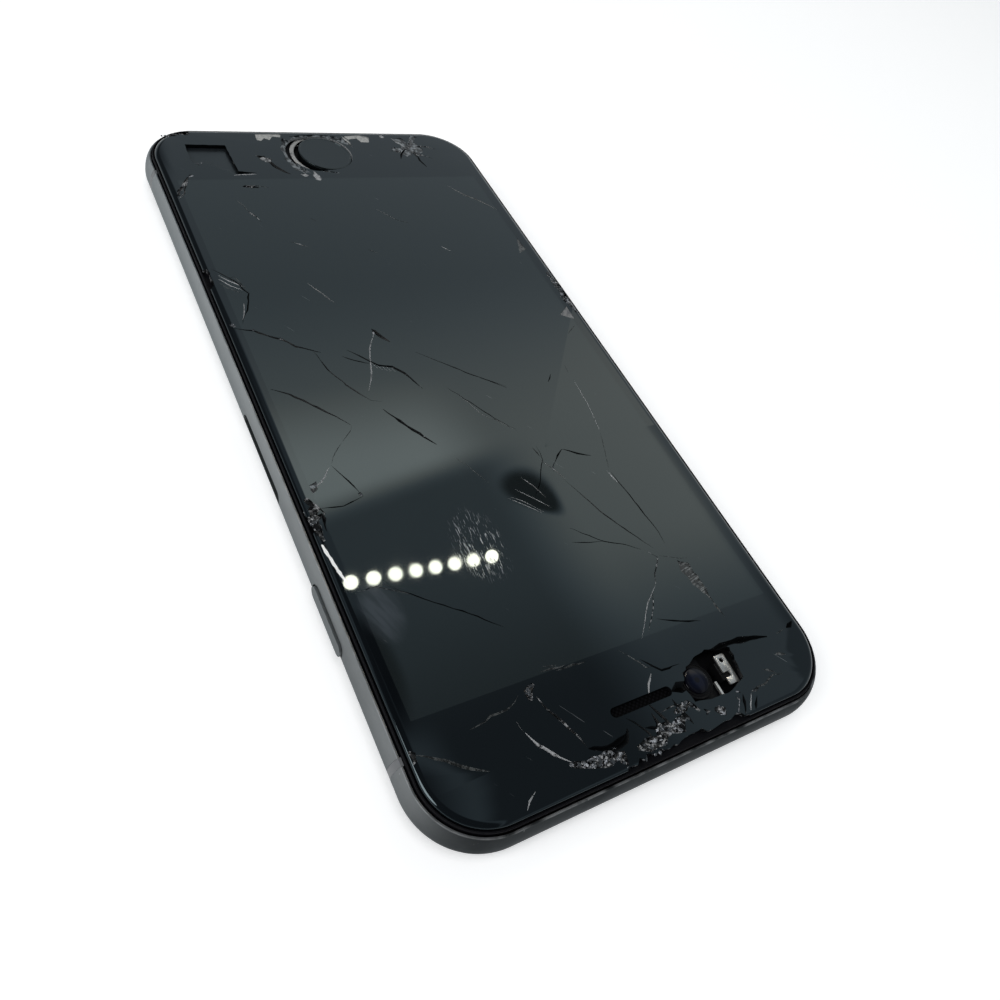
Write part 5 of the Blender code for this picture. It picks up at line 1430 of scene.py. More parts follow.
@dataclass
class BrokenGlass:
    """The cover glass with its rounded edge, cracks, chips and lost pieces."""

    plan: BodyPlan
    edge_round: float = 0.85 * MM
    edge_wall: float = 0.15 * MM
    edge_steps: int = 8
    crack_depth: float = 1.3
    dark_widening: float = 1.4
    crack_skew: float = 0.35
    above: float = 0.4 * MM
    tip_share: float = 0.18
    crack_lift: float = 0.9
    crack_step: float = 1.1
    chip_step: float = 0.6
    hole_step: float = 0.7
    home_radius: float = 5.15
    home_centre: Point = (0.0, -60.6)
    slot_size: Point = (10.2, 1.4)
    slot_steps: int = 12
    layer_gap: float = 0.3 * MM

    def build(self) -> None:
        """Makes the sheet of glass and breaks it."""
        low, high = self.plan.glass_low, self.plan.glass_high
        inset = self.plan.half_width - high.x
        glass = self.plan.block("shattered_glass", inset, low.z, low.z + self.edge_wall)
        rise = high.z - low.z - self.edge_wall
        terrace(glass, UP, arc_steps(self.edge_round, rise, self.edge_steps, 1.0))
        coat(glass, GLASS)
        for tool in [*self._lost_pieces(), *self._recesses()]:
            combine(glass, tool)
        for layer in self._layers([*self._chip_tools(), *self._crack_tools()]):
            combine(glass, join(layer, "crack tools"))
        present(glass, "black_glass", HANDSET, "cover_glass", smooth=24.0)

    def _through(
        self, outline: Sequence[Point], finish: Finish, wander: float, seed: str
    ) -> bpy.types.Object:
        """A cutter through the whole glass."""
        points = ragged(outline, seed, wander, self.hole_step, closed=True) if wander else outline
        low = self.plan.glass_low.z - self.above
        return coat(outline_prism("hole tool", points, low, self.plan.glass_high.z + self.above), finish)

    def _lost_pieces(self) -> list[bpy.types.Object]:
        """Cutters of the earpiece slot, the broken openings and the notches in the edge."""
        slot_half, slot_radius = self.slot_size[0] / 2, self.slot_size[1] / 2
        slot = []
        for side in (1, -1):
            for step in range(self.slot_steps + 1):
                angle = math.radians(-90 * side + 180 * step / self.slot_steps)
                x = side * (slot_half - slot_radius) + slot_radius * math.cos(angle)
                slot.append((x, FRONT_CAMERA[1] + slot_radius * math.sin(angle)))
        home = []
        for degrees, gap in HOME_BREAK:
            angle = math.radians(degrees)
            radius = self.home_radius + gap
            home.append((radius * math.cos(angle), self.home_centre[1] + radius * math.sin(angle)))
        void = [(FRONT_CAMERA[0] + x, FRONT_CAMERA[1] + y) for x, y in CAMERA_VOID]
        tools = [
            self._through(slot, BLACK_PLASTIC, 0.0, "slot"),
            self._through(self._soft(home), PALE_FRACTURE, 0.03, "home"),
            self._through(void, DARK_FRACTURE, 0.05, "camera"),
            self._through(STEPPED_HOLE, DARK_FRACTURE, 0.02, "stepped"),
        ]
        for number, notch in enumerate(EDGE_NOTCHES):
            tools.append(self._through(notch, MIXED_FRACTURE, 0.12, f"notch {number}"))
        return tools

    @staticmethod
    def _soft(outline: Sequence[Point]) -> list[Point]:
        """An outline with a point added between each two, halfway to where a smooth curve would lie."""
        made = []
        count = len(outline)
        for index in range(count):
            before, here = outline[index - 1], outline[index]
            after, later = outline[(index + 1) % count], outline[(index + 2) % count]
            made.append(here)
            made.append(tuple((9 * (here[k] + after[k]) - before[k] - later[k]) / 16 for k in (0, 1)))
        return made

    def _recesses(self) -> list[bpy.types.Object]:
        """Cutters of the shallow crushed beds that the heaps of grains lie in."""
        top = self.plan.glass_high.z
        tools = []
        for heap in HEAPS:
            for number, route in enumerate(heap.routes):
                outline = self._ribbon(route, heap.spread, f"{heap.name} {number}")
                bed = outline_prism("bed tool", outline, top - heap.depth * MM, top + self.above)
                tools.append(coat(bed, MIXED_FRACTURE))
        return tools

    @staticmethod
    def _ribbon(route: Sequence[Point], half_width: float, seed: str) -> list[Point]:
        """The ragged outline of a strip along a route, narrow at its ends.

        Args:
            route: the middle of the strip in millimetres.
            half_width: how far it reaches to either side.
            seed: what its raggedness is drawn from.

        Returns:
            The outline.
        """
        chance = random.Random(seed)
        middle = ragged(route, seed, 0.06, 0.8)
        sides: tuple[list[Point], list[Point]] = ([], [])
        last = len(middle) - 1
        for index, (x, y) in enumerate(middle):
            before, after = middle[max(index - 1, 0)], middle[min(index + 1, last)]
            run = math.dist(before, after)
            across = ((before[1] - after[1]) / run, (after[0] - before[0]) / run)
            taper = 0.35 + 0.65 * min(1.0, 3.0 * min(index, last - index) / last)
            for side, sign in zip(sides, (1, -1)):
                reach = sign * half_width * taper * chance.uniform(0.45, 1.15)
                side.append((x + across[0] * reach, y + across[1] * reach))
        return sides[0] + sides[1][::-1]

    def _chip_tools(self) -> list[bpy.types.Object]:
        """Cutters of the flakes that came off the top."""
        top = self.plan.glass_high.z
        tools = []
        for number, chip in enumerate(CHIPS):
            outline = ragged(chip.outline, f"chip {number}", chip.wander, self.chip_step, closed=True)
            tool = outline_prism("chip tool", outline, top - chip.depth * MM, top + self.above)
            tools.append(coat(tool, chip.finish))
        return tools

    def _crack_tools(self) -> list[bpy.types.Object]:
        """Cutters of the cracks."""
        return [self._groove(crack, f"crack {number}") for number, crack in enumerate(CRACKS)]

    def _groove(self, crack: Crack, seed: str) -> bpy.types.Object:
        """A V-shaped cutter along a crack, whose width wanders and runs out at its ends.

        Args:
            crack: the crack.
            seed: what its wandering is drawn from.

        Returns:
            The cutter.
        """
        chance = random.Random(seed)
        route = ragged(crack.route, seed, crack.wander, self.crack_step)
        width = crack.width * (self.dark_widening if crack.tone is Tone.DARK else 1.0)
        lift = self.crack_lift
        spread = 1 + lift / self.crack_depth
        skew = self.crack_skew * chance.choice((-1.0, 1.0))
        profile = poly_curve("section", [(-spread, lift), (skew, -self.crack_depth), (spread, lift)], 1.0)
        tool = poly_curve("groove tool", route, MM, closed=False)
        curve = tool.data
        curve.twist_mode = "Z_UP"
        curve.bevel_mode = "OBJECT"
        curve.bevel_object = profile
        curve.use_fill_caps = True
        last = len(route) - 1
        for index, point in enumerate(curve.splines[0].points):
            run = min(index, last - index) / max(1.0, last / 2)
            share = self.tip_share + (1 - self.tip_share) * min(1.0, 1.7 * run)
            point.radius = width * MM / 2 * share * chance.uniform(0.65, 1.25)
        tool.location.z = self.plan.glass_high.z
        weld(tool)
        bpy.data.objects.remove(profile, do_unlink=True)
        return coat(tool, crack.tone.value)

    def _layers(self, tools: Sequence[bpy.types.Object]) -> list[list[bpy.types.Object]]:
        """Sorts cutters into layers in which no two boxes meet, so that one cut takes a whole layer."""
        layers: list[list[tuple[bpy.types.Object, tuple[float, ...]]]] = []
        gap = self.layer_gap
        for tool in tools:
            xs, ys, _ = zip(*tool.bound_box)
            box = (min(xs) - gap, max(xs) + gap, min(ys) - gap, max(ys) + gap)
            for layer in layers:
                if all(box[0] > b[1] or box[1] < b[0] or box[2] > b[3] or box[3] < b[2] for _, b in layer):
                    layer.append((tool, box))
                    break
            else:
                layers.append([(tool, box)])
        return [[tool for tool, _ in layer] for layer in layers]


@dataclass(frozen=True)
class Heap:
    """Crushed glass that still clings to its place, in a shallow bed along one or more routes."""

    name: str
    routes: tuple[tuple[Point, ...], ...]
    spread: float
    count: int
    largest: float
    pale_share: float
    depth: float = 0.32
    smallest: float = 0.14


HEAPS = (
    Heap("crushed_glass_near", (((11.6, 64.9), (9.0, 65.2), (6.0, 65.6)), ((4.0, 65.5), (1.6, 65.9),
        (-0.6, 65.6)), ((0.2, 65.2), (-2.4, 65.0), (-5.0, 64.2))), 1.25, 330, 1.2, 0.5, 0.4),
    Heap("crushed_glass_ends", (((-3.6, 63.4), (-6.2, 62.9), (-7.4, 64.4)), ((13.8, 64.0), (12.2, 64.7),
        (10.6, 65.0)), ((7.0, 65.6), (6.4, 66.9)), ((-9.6, 65.0), (-10.7, 65.7), (-11.2, 65.2))), 0.7, 170,
        0.9, 0.65),
    Heap("crushed_glass_camera", (((-8.1, 64.4), (-8.6, 64.9), (-8.0, 65.2)), ((-14.4, 63.9),
        (-15.0, 64.3)), ((-13.9, 64.6), (-14.3, 65.4)), ((-16.8, 64.8), (-18.2, 64.7))), 0.32, 70, 0.55,
        0.9),
    Heap("crushed_glass_corner", (((13.1, 53.2), (14.3, 53.9), (14.5, 55.1)),), 0.6, 70, 0.7, 0.8),
    Heap("crushed_glass_right", (((-30.9, -21.8), (-31.1, -18.4), (-31.0, -14.4), (-31.3, -10.4)),), 0.8,
        260, 0.8, 0.85),
    Heap("crushed_glass_left", (((31.2, 18.4), (30.6, 20.4), (31.4, 22.6), (31.0, 25.6)),), 0.85, 46, 2.0,
        0.12, 0.36, smallest=0.4),
    Heap("crushed_glass_far", (((24.2, -66.4), (26.6, -66.3), (29.0, -65.4)),), 0.5, 90, 0.6, 0.5),
    Heap("crushed_glass_far_left", (((31.2, -47.8), (29.6, -50.4), (28.0, -53.2)), ((25.4, -57.2),
        (24.0, -57.6)), ((19.2, -50.3), (16.4, -49.8))), 0.4, 110, 0.5, 0.6),
    Heap("crushed_glass_star", (((-20.6, -65.2), (-19.4, -63.2), (-18.4, -62.0)), ((-18.9, -61.4),
        (-19.8, -59.6)), ((-16.4, -61.2), (-15.2, -60.8))), 0.4, 60, 0.5, 0.4, 0.16),
)


@dataclass
class CrushedGlass:
    """Heaps of small sharp grains of glass."""

    plan: BodyPlan
    forms: int = 6
    cuts: int = 5
    below_top: float = 0.01 * MM
    edge_gap: float = 0.1

    def build(self) -> None:
        """Makes a few grains, then copies them into each heap."""
        grains = [self._grain(number) for number in range(self.forms)]
        for heap in HEAPS:
            self._pile(heap, grains)
        for grain in grains:
            bpy.data.objects.remove(grain, do_unlink=True)

    def _grain(self, number: int) -> bpy.types.Object:
        """One sharp grain about 1 metre across, cut from a ball by flat cleavage planes.

        Args:
            number: which of the forms it is.

        Returns:
            The grain, to be scaled where it is copied.
        """
        chance = random.Random(f"grain {number}")
        pick()
        scale = (1.0, chance.uniform(0.5, 0.8), 0.45)
        bpy.ops.mesh.primitive_ico_sphere_add(subdivisions=1, radius=0.5, scale=scale)
        grain = bpy.context.object
        settle(grain)
        with editing(grain):
            for _ in range(self.cuts):
                normal = Vector((chance.gauss(0, 1), chance.gauss(0, 1), chance.gauss(0, 0.7))).normalized()
                place = normal * chance.uniform(0.10, 0.28)
                bpy.ops.mesh.select_all(action="SELECT")
                bpy.ops.mesh.bisect(plane_co=place, plane_no=normal, use_fill=True, clear_outer=True)
        return grain

    def _pile(self, heap: Heap, grains: Sequence[bpy.types.Object]) -> None:
        """Copies grains along a heap's route.

        Args:
            heap: where they lie and how large they are.
            grains: the forms that are copied.
        """
        chance = random.Random(heap.name)
        runs = [(a, b) for route in heap.routes for a, b in zip(route, route[1:])]
        lengths = [math.dist(a, b) for a, b in runs]
        top = self.plan.glass_high.z - self.below_top
        bed = self.plan.glass_high.z - heap.depth * MM
        copies = []
        for _ in range(heap.count):
            start, end = chance.choices(runs, lengths)[0]
            share = chance.random()
            x = start[0] + (end[0] - start[0]) * share + chance.gauss(0, heap.spread / 2)
            y = start[1] + (end[1] - start[1]) * share + chance.gauss(0, heap.spread / 2)
            size = heap.smallest + (heap.largest - heap.smallest) * chance.random() ** 2.2
            mesh = chance.choice(grains).data.copy()
            turn = Matrix.Rotation(chance.uniform(0, math.tau), 4, "Z")
            tilt = Matrix.Rotation(math.radians(chance.uniform(-38, 38)), 4, "X")
            longer = Matrix.Scale(chance.uniform(0.8, 1.8), 4, Vector((1.0, 0.0, 0.0)))
            mesh.transform(turn @ tilt @ longer @ Matrix.Scale(size * MM, 4))
            highest = max(vertex.co.z for vertex in mesh.vertices)
            z = min(bed + size * chance.uniform(0.1, 0.6) * MM, top - highest)
            inside_x, inside_y = self._inside(x, y, size)
            mesh.transform(Matrix.Translation((inside_x * MM, inside_y * MM, z)))
            mesh.materials.clear()
            is_pale = chance.random() < heap.pale_share
            finish = GRIT if is_pale else chance.choice((MIXED_FRACTURE, DARK_FRACTURE))
            mesh.materials.append(finish.material())
            copy = bpy.data.objects.new("grain", mesh)
            bpy.context.scene.collection.objects.link(copy)
            copies.append(copy)
        present(join(copies, heap.name), "black_glass", HANDSET, smooth=1.0)

    def _inside(self, x: float, y: float, size: float) -> Point:
        """A place held back from the outline of the glass by half a grain."""
        held = size / 2 + self.edge_gap
        half_x = self.plan.glass_high.x / MM - held
        half_y = self.plan.glass_high.y / MM - held
        return max(-half_x, min(half_x, x)), max(-half_y, min(half_y, y))


@dataclass
class ScreenFrame:
    """The black plastic frame round the glass, with its thin lip."""

    plan: BodyPlan
    outer: float = 1.182 * MM
    lip_width: float = 0.2 * MM
    inner: float = 3.002 * MM
    shelf_z: float = 6.2 * MM
    rebate: float = 6.95 * MM
    rebate_drop: float = 0.2 * MM
    rebate_height: float = 3.0 * MM
    lip_ease: float = 0.05 * MM
    film: tuple[Point, ...] = ((27.4, -64.4), (17.6, -64.2), (17.6, -55.4), (14.4, -53.7), (27.4, -53.7))
    film_gap: float = 0.02 * MM

    def build(self) -> None:
        """Makes the frame, and the printed film that shows where glass is lost over it."""
        low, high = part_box("display_frame")
        ring = self.plan.block("screen_frame", self.outer, low.z, high.z)
        ease_edges(ring, self.lip_ease, 2, 60.0)
        combine(ring, self.plan.block("shelf tool", self.outer + self.lip_width, self.shelf_z, high.z + MM))
        combine(ring, self.plan.block("inner tool", self.inner, low.z - MM, high.z + MM))
        gasket = NodeBox.of("home_button_gasket")
        start = gasket.at(gasket.low.z - self.rebate_drop)
        combine(ring, bore("rebate tool", self.rebate, start, start + UP * self.rebate_height, 64))
        present(coat(ring, BLACK_PLASTIC), "black_plastic", HANDSET, "display_frame")
        film = outline_prism("border_film", self.film, self.shelf_z, self.plan.glass_low.z - self.film_gap)
        present(coat(film, BORDER_FILM), "black_plastic", HANDSET)


@dataclass
class HomeButton:
    """The round home button with its polished edge, and the pale gasket round it."""

    sides: int = 96
    edge: float = 0.08 * MM
    face_steps: tuple[Point, ...] = ((0.28 * MM, 0.0), (0.03 * MM, -0.03 * MM), (0.9 * MM, -0.02 * MM))
    bead: float = 0.8 * MM
    bead_slump: float = 0.02 * MM

    def build(self) -> None:
        """Makes the button and the gasket."""
        button = NodeBox.of("home_button").disc("home_button_disc", self.sides)
        ease_edges(button, self.edge, 3, 60.0)
        terrace(button, UP, self.face_steps)
        present(coat(button, HOME_FACE), "black_glass", "home_button", "home_button")
        self._gasket()

    def _gasket(self) -> None:
        """A soft ring with a raised bead, its outer half slumped a little."""
        box = NodeBox.of("home_button_gasket")
        centre = box.centre
        middle = box.radius - self.bead / 2
        pick()
        bpy.ops.mesh.primitive_torus_add(
            location=centre,
            major_segments=120,
            minor_segments=14,
            major_radius=middle,
            minor_radius=self.bead / 2,
        )
        ring = bpy.context.object
        ring.name = "home_button_seal_ring"
        ring.scale.z = (box.high.z - box.low.z) / self.bead
        settle(ring)
        with editing(ring, "VERT"):
            select_where(ring, "verts", lambda v: v.co.z > centre.z and (v.co - centre).xy.length > middle)
            bpy.ops.transform.translate(value=(0.0, 0.0, -self.bead_slump))
        present(coat(ring, RUBBER), "pale_rubber", HANDSET, "home_button_gasket", smooth=60.0)


@dataclass
class FrontRow:
    """What the broken glass lays bare at the near end: the camera and the strip of the sensors."""

    lens_wall: float = 0.08 * MM
    dome_steps: int = 6
    dome_share: float = 0.9
    dome_end: float = 0.97
    body_rise: float = 1.4 * MM
    body_corner: float = 0.3 * MM
    barrel_wall: float = 0.7 * MM
    barrel_edge: float = 0.03 * MM
    barrel_steps: tuple[Point, ...] = ((0.12 * MM, 0.0), (0.0, -0.12 * MM), (0.3 * MM, 0.0), (0.0, 0.12 * MM))
    strip_corner: float = 0.15 * MM
    strip_edge: float = 0.04 * MM
    strip_hole: float = 0.35 * MM
    strip_hole_y: float = 0.9 * MM
    notch: Point = (1.9 * MM, 1.1 * MM)
    notch_reach: float = 0.15 * MM
    notch_corner: float = 0.1 * MM
    clip_corner: float = 0.08 * MM
    clip_box: tuple[Sequence[float], Sequence[float]] = ((-13.1, 61.5, 5.9), (-12.75, 63.5, 6.3))

    def build(self) -> None:
        """Makes each piece of the row."""
        self._lens()
        self._barrel()
        self._strip()

    def _lens(self) -> None:
        """The domed front of the camera."""
        box = NodeBox.of("front_camera_lens")
        wall_top = box.low.z + self.lens_wall
        lens = bore("front_camera_eye", box.radius, box.at(box.low.z), box.at(wall_top), 64)
        reach, rise = box.radius * self.dome_share, box.high.z - wall_top
        terrace(lens, UP, arc_steps(reach, rise, self.dome_steps, self.dome_end))
        present(coat(lens, FRONT_LENS), "lens_glass", HANDSET, "front_camera_lens", smooth=60.0)

    def _barrel(self) -> None:
        """The camera's square body and its round barrel with stepped rings."""
        camera, lens = NodeBox.of("front_camera"), NodeBox.of("front_camera_lens")
        low, high = camera.low, camera.high
        corner = Vector((high.x, high.y, low.z + self.body_rise))
        body = rounded_block("front_camera_barrel", low, corner, self.body_corner, 4)
        radius = lens.radius + self.barrel_wall
        barrel = bore("barrel", radius, lens.at(camera.centre.z), lens.at(high.z), 64)
        terrace(barrel, UP, self.barrel_steps)
        ease_edges(barrel, self.barrel_edge, 2)
        combine(body, barrel, "UNION")
        present(coat(body, BLACK_AND_PAINTED_SHADE), "black_plastic", HANDSET, "front_camera")

    def _strip(self) -> None:
        """The pale metal strip with its round hole and its notch, painted lighter than the other steel to
        make up for the shade that it lies in.
        """
        low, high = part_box("sensor_bracket")
        strip = rounded_block("sensor_strip", low, high, self.strip_corner, 4)
        x, y = (low.x + high.x) / 2, low.y + self.strip_hole_y
        ends = [Vector((x, y, z)) for z in (low.z - MM, high.z + MM)]
        combine(strip, bore("hole tool", self.strip_hole, *ends, 32))
        notch_low = Vector((x - self.notch_reach, high.y - self.notch[0], low.z - MM))
        notch_high = Vector((high.x + MM, high.y - self.notch[1], high.z + MM))
        combine(strip, rounded_block("notch tool", notch_low, notch_high, self.notch_corner, 3))
        ease_edges(strip, self.strip_edge, 2)
        present(coat(strip, LIGHTENED_STRIP_STEEL), "steel", HANDSET, "sensor_bracket")
        clip_low, clip_high = (Vector(corner) * MM for corner in self.clip_box)
        clip = rounded_block("sensor_clip", clip_low, clip_high, self.clip_corner, 3)
        present(coat(clip, LIGHTENED_STRIP_STEEL), "steel", HANDSET)


@dataclass
class BackDetails:
    """The rear camera's ring and glass, the flash window, the port's tongue and the end screws."""

    ring_wall: float = 0.6 * MM
    ring_edge: float = 0.08 * MM
    window_edge: float = 0.05 * MM
    tongue: tuple[float, float, float] = (6.6 * MM, 4.2 * MM, 0.7 * MM)
    tongue_inset: float = 0.6 * MM
    tongue_corner: float = 0.2 * MM
    tongue_edge: float = 0.06 * MM
    screw_head: float = 0.7 * MM
    screw_shank: float = 0.4 * MM
    screw_edge: float = 0.08 * MM
    recess: tuple[float, float, float] = (0.46 * MM, 0.12 * MM, 0.3 * MM)

    def build(self) -> None:
        """Makes each of them."""
        self._camera_ring()
        self._round_window("rear_camera_glass", "rear_camera_window", REAR_LENS, "lens_glass")
        self._round_window("flash_glass", "flash_lens", FLASH, "flash_window")
        self._port_tongue()
        for side in ("left", "right"):
            self._screw(side)

    def _camera_ring(self) -> None:
        """The metal ring round the rear camera's glass."""
        box = NodeBox.of("rear_camera_trim")
        ring = box.disc("rear_camera_ring", 96)
        ends = box.at(box.low.z - MM), box.at(box.high.z + MM)
        combine(ring, bore("ring tool", box.radius - self.ring_wall, *ends, 96))
        ease_edges(ring, self.ring_edge, 3)
        present(coat(ring, KEY_METAL), "housing_metal", HANDSET, "rear_camera_trim")

    def _round_window(self, name: str, node: str, finish: Finish, slot: str) -> None:
        """A round window with an eased edge."""
        window = NodeBox.of(node).disc(name, 64)
        ease_edges(window, self.window_edge, 2)
        present(coat(window, finish), slot, HANDSET, node)

    def _port_tongue(self) -> None:
        """The contact tongue inside the charging port."""
        box = NodeBox.of("charging_port")
        width, depth, height = self.tongue
        root, middle = box.high.y - self.tongue_inset, box.centre.z
        low = Vector((-width / 2, root - depth, middle - height / 2))
        high = Vector((width / 2, root, middle + height / 2))
        tongue = rounded_block("port_tongue", low, high, self.tongue_corner, 4)
        ease_edges(tongue, self.tongue_edge, 2)
        present(coat(tongue, BLACK_PLASTIC), "black_plastic", HANDSET)

    def _screw(self, side: str) -> None:
        """An end screw with a plain cross recess, whose walls are painted black as shade."""
        box = NodeBox.of(f"bottom_screw_{side}")
        x, _, z = box.centre
        start, end = Vector((x, box.low.y, z)), Vector((x, box.high.y, z))
        head = Vector((0.0, self.screw_head, 0.0))
        screw = bore(f"end_screw_{side}", box.radius, start, start + head, 40)
        combine(screw, bore("shank", self.screw_shank, start + head * 0.9, end, 24), "UNION")
        ease_edges(coat(screw, STEEL), self.screw_edge, 2, 60.0)
        length, width, depth = self.recess
        # The recess walls take this black: painted shade in the recess.
        for half in (Vector((length, depth, width)), Vector((width, depth, length))):
            tool = rounded_block("recess tool", start - half, start + half, 0.0, 1)
            combine(screw, coat(tool, BLACK_AND_PAINTED_SHADE))
        present(screw, "steel", HANDSET, f"bottom_screw_{side}")


def hang_disc(name: str, place: Vector, width: float, energy: float) -> bpy.types.Object:
    """A round lamp at a place, aimed at the object.

    Args:
        name: its name.
        place: where it hangs.
        width: its width.
        energy: its power in watts.

    Returns:
        The lamp's object.
    """
    lamp = bpy.data.lights.new(name, "AREA")
    lamp.shape = "DISK"
    lamp.size = width
    lamp.energy = energy
    obj = bpy.data.objects.new(name, lamp)
    obj.location = place
    obj.rotation_euler = place.to_track_quat("Z", "Y").to_euler()
    bpy.context.scene.collection.objects.link(obj)
    return obj


@dataclass(frozen=True)
class Lamp:
    """A soft lamp: its place, width and share of the floor's light, and whether polished faces mirror it."""

    name: str
    place: tuple[float, float, float]
    width: float
    level: float
    mirrored: bool = True

    def hang(self) -> None:
        """Puts the lamp up, aimed at the object, with the power that its level needs."""
        place = Vector(self.place)
        drop = place.z / place.length
        energy = self.level * math.pi**2 * place.length_squared / drop
        hang_disc(self.name, place, self.width, energy).visible_glossy = self.mirrored


RAY_KINDS = ("Camera", "Glossy", "Transmission")
HORIZON_LIGHT = ((0.0, 0.88), (0.12, 0.78), (0.30, 0.55), (0.50, 0.45))
COOL_LIGHT = (0.88, 1.0, 1.10)
WARM_LIGHT = (1.02, 1.0, 0.94)


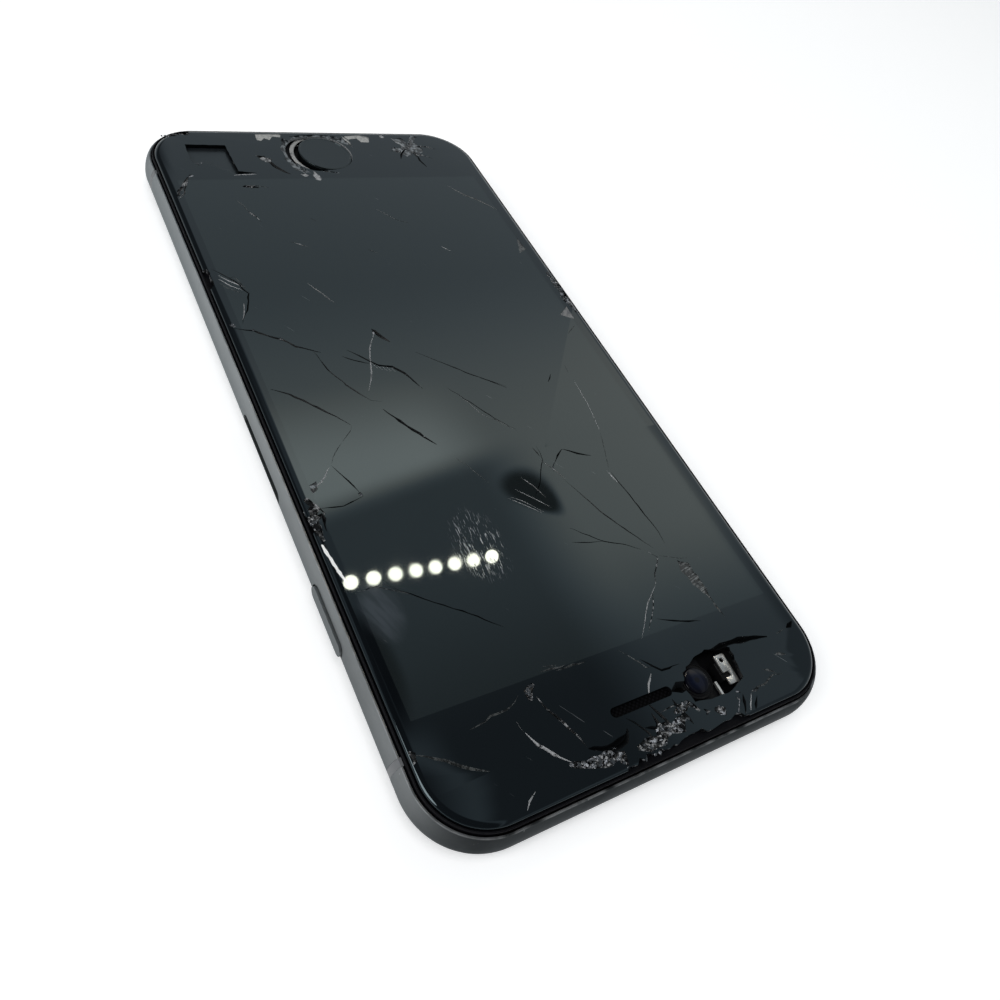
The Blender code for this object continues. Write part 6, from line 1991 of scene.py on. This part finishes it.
@dataclass
class Studio:
    """The floor, the light and the camera."""

    camera_place: tuple[float, float, float] = (0.0630, 0.0803, 0.0991)
    look: tuple[float, float, float] = (-0.4831, -0.4474, -0.7526)
    image_right: tuple[float, float, float] = (-0.8525, 0.4363, 0.2879)
    lens: float = 29.894
    floor_size: float = 12.0
    floor_drop: float = 0.02 * MM
    floor_white: float = 0.90
    floor_glow: float = 0.36
    lamps: tuple[Lamp, ...] = (
        Lamp("key lamp", (0.95, 0.05, 0.85), 0.7, 0.30),
        Lamp("high lamp", (0.12, 0.22, 1.5), 0.8, 0.28, mirrored=False),
    )
    leaf_centre: Point = (-1.8, 25.8)
    leaf_lean: Point = (-0.55, 0.835)
    leaf_half: Point = (3.6, 5.4)
    leaf_taper: float = 0.28
    wedge_centre: Point = (31.0, 45.0)
    wedge_half: Point = (3.0, 9.0)
    spot_count: int = 8
    spot_radius: float = 0.0060
    spot_glow: float = 34.0
    spot_colour: Colour = (1.0, 0.85, 0.66)
    spot_first: tuple[float, float, float] = (-0.1496, -0.2261, 0.507)
    spot_last: tuple[float, float, float] = (-0.2813, -0.2164, 0.507)

    def build(self) -> None:
        """Sets up everything that isn't part of the object."""
        self._floor()
        self._world()
        for lamp in self.lamps:
            lamp.hang()
        self._spots()
        self._camera()
        bpy.context.scene.view_settings.view_transform = "Standard"

    def _floor(self) -> None:
        """A white matt floor that shows the object's soft shadow."""
        pick()
        bpy.ops.mesh.primitive_plane_add(size=self.floor_size, location=(0.0, 0.0, -self.floor_drop))
        floor = bpy.context.object
        floor.name = "studio_floor"
        made = bpy.data.materials.new("studio floor")
        made.use_nodes = True
        sheet = NodeSheet(made.node_tree)
        shader = made.node_tree.nodes["Principled BSDF"]
        shader.inputs["Base Color"].default_value = (*[self.floor_white] * 3, 1.0)
        shader.inputs["Roughness"].default_value = 0.9
        shader.inputs["Specular IOR Level"].default_value = 0.1
        rays = [sheet.node("ShaderNodeLightPath", None, None, f"Is {kind} Ray") for kind in RAY_KINDS]
        shader.inputs["Emission Color"].default_value = (1.0, 1.0, 1.0, 1.0)
        shown = (rays[0] + rays[1] + rays[2]).least(1.0)
        sheet.feed(shader.inputs["Emission Strength"], shown * self.floor_glow)
        floor.data.materials.append(made)

    def _world(self) -> None:
        """A room with a pale horizon and a soft ceiling, part of which is brighter."""
        world = bpy.data.worlds.new("studio")
        bpy.context.scene.world = world
        world.use_nodes = True
        sheet = NodeSheet(world.node_tree)
        direction = sheet.node("ShaderNodeTexCoord", None, None, "Generated")
        x, y, z = (sheet.node("ShaderNodeSeparateXYZ", None, {0: direction}, axis) for axis in "XYZ")
        horizon = sheet.node("ShaderNodeValToRGB", {"stops": HORIZON_LIGHT}, {0: z})
        horizon = horizon * (1 - 0.55 * y.ramp(0.1, 0.8))
        high = z.ramp(0.30, 0.47)
        level = self._ceiling(x, y, z) * high + horizon * (1 - high)
        background = world.node_tree.nodes["Background"]
        sheet.feed(background.inputs["Color"], sheet.blend(level.ramp(0.25, 1.3), COOL_LIGHT, WARM_LIGHT))
        sheet.feed(background.inputs["Strength"], level)

    def _ceiling(self, x: Signal, y: Signal, z: Signal) -> Signal:
        """The ceiling's brightness, laid out by the spot on the glass in which the camera sees it mirrored.

        Args:
            x: the direction's part along X.
            y: its part along Y.
            z: its part along Z.

        Returns:
            The brightness.
        """
        glass_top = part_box("cover_glass")[1].z
        throw = (self.camera_place[2] - glass_top) / MM
        up = z.most(0.2)
        across = x / up * throw + self.camera_place[0] / MM
        along = y / up * throw + self.camera_place[1] / MM
        slanted = along - 0.15 * (across - 24.0)
        rise = along.ramp(-26.0, 24.0)
        leaf_x, leaf_y = across - self.leaf_centre[0], along - self.leaf_centre[1]
        lean_x, lean_y = self.leaf_lean
        leaf_long = (leaf_x * lean_x + leaf_y * lean_y) / self.leaf_half[1]
        leaf_wide = (leaf_x * lean_y + leaf_y * -lean_x) / (self.leaf_half[0] - self.leaf_taper * leaf_y)
        edge_shade = 1 - 0.42 * (1 - across.ramp(-31.0, -28.4)) * along.ramp(-22.0, -4.0)
        corner_glow = 0.3 * across.ramp(26.0, 31.0) * along.ramp(52.0, 57.0)
        fade = 1 - 0.62 * along.ramp(34.0, 58.0)
        dark_side = across.ramp(-8.0, 6.0) * slanted.ramp(17.5, 23.0)
        glare = across.ramp(-2.0, 12.0) * along.ramp(-2.0, 15.0) * (1 - slanted.ramp(17.0, 21.5))
        beyond = 1 - 0.85 * across.ramp(30.5, 40.0)
        wedge = oval(across, along, self.wedge_centre, self.wedge_half)
        leaf = leaf_long**2.0 + leaf_wide**2.0
        even = (0.51 + 0.80 * rise) * fade * (1 - 0.70 * dark_side) * edge_shade
        lit = (even + 1.15 * glare + corner_glow) * beyond
        return lit * leaf.ramp(0.5, 1.35) * (0.1 + 0.9 * wedge.ramp(0.2, 1.1))

    def _spots(self) -> None:
        """A straight row of small round lamps, whose images lie in a row on the glass."""
        first, last = Vector(self.spot_first), Vector(self.spot_last)
        area = math.pi * self.spot_radius**2
        for number in range(self.spot_count):
            place = first.lerp(last, number / (self.spot_count - 1))
            energy = self.spot_glow * math.pi * area
            spot = hang_disc(f"small lamp {number}", place, 2 * self.spot_radius, energy)
            spot.data.color = self.spot_colour

    def _camera(self) -> None:
        """The camera where the photographer's was."""
        data = bpy.data.cameras.new("camera")
        data.lens = self.lens
        data.clip_start = 0.005
        camera = bpy.data.objects.new("camera", data)
        look = Vector(self.look).normalized()
        right = Vector(self.image_right)
        right = (right - look * right.dot(look)).normalized()
        up = right.cross(look)
        turn = Matrix((right, up, -look)).transposed().to_4x4()
        camera.matrix_world = Matrix.Translation(self.camera_place) @ turn
        bpy.context.scene.collection.objects.link(camera)
        bpy.context.scene.camera = camera


def dress_cad_nodes() -> None:
    """Gives each CAD node a finish by its slot, and paints near black, as painted shade, the nodes that lie
    deep under the broken glass round the front camera and the home button.
    """
    slots = {part["node"]: part["material_slot"] for part in frame["record"]["subparts"]}
    for name, node in frame["nodes"].items():
        coat(node, BLACK_AND_PAINTED_SHADE if name in PAINTED_SHADE_NODES else SLOT_FINISHES[slots[name]])
    coat(frame["nodes"]["earpiece_mesh"], CLOTH_MESH)


def main() -> None:
    """Builds the looks, in the order from the outside in."""
    logging.basicConfig(level=logging.INFO, format="%(message)s")
    plan = BodyPlan()
    dress_cad_nodes()
    Housing(plan).build()
    FlankKeys(plan).build()
    ScreenFrame(plan).build()
    BrokenGlass(plan).build()
    CrushedGlass(plan).build()
    HomeButton().build()
    FrontRow().build()
    BackDetails().build()
    Studio().build()


if __name__ == "__main__":
    main()
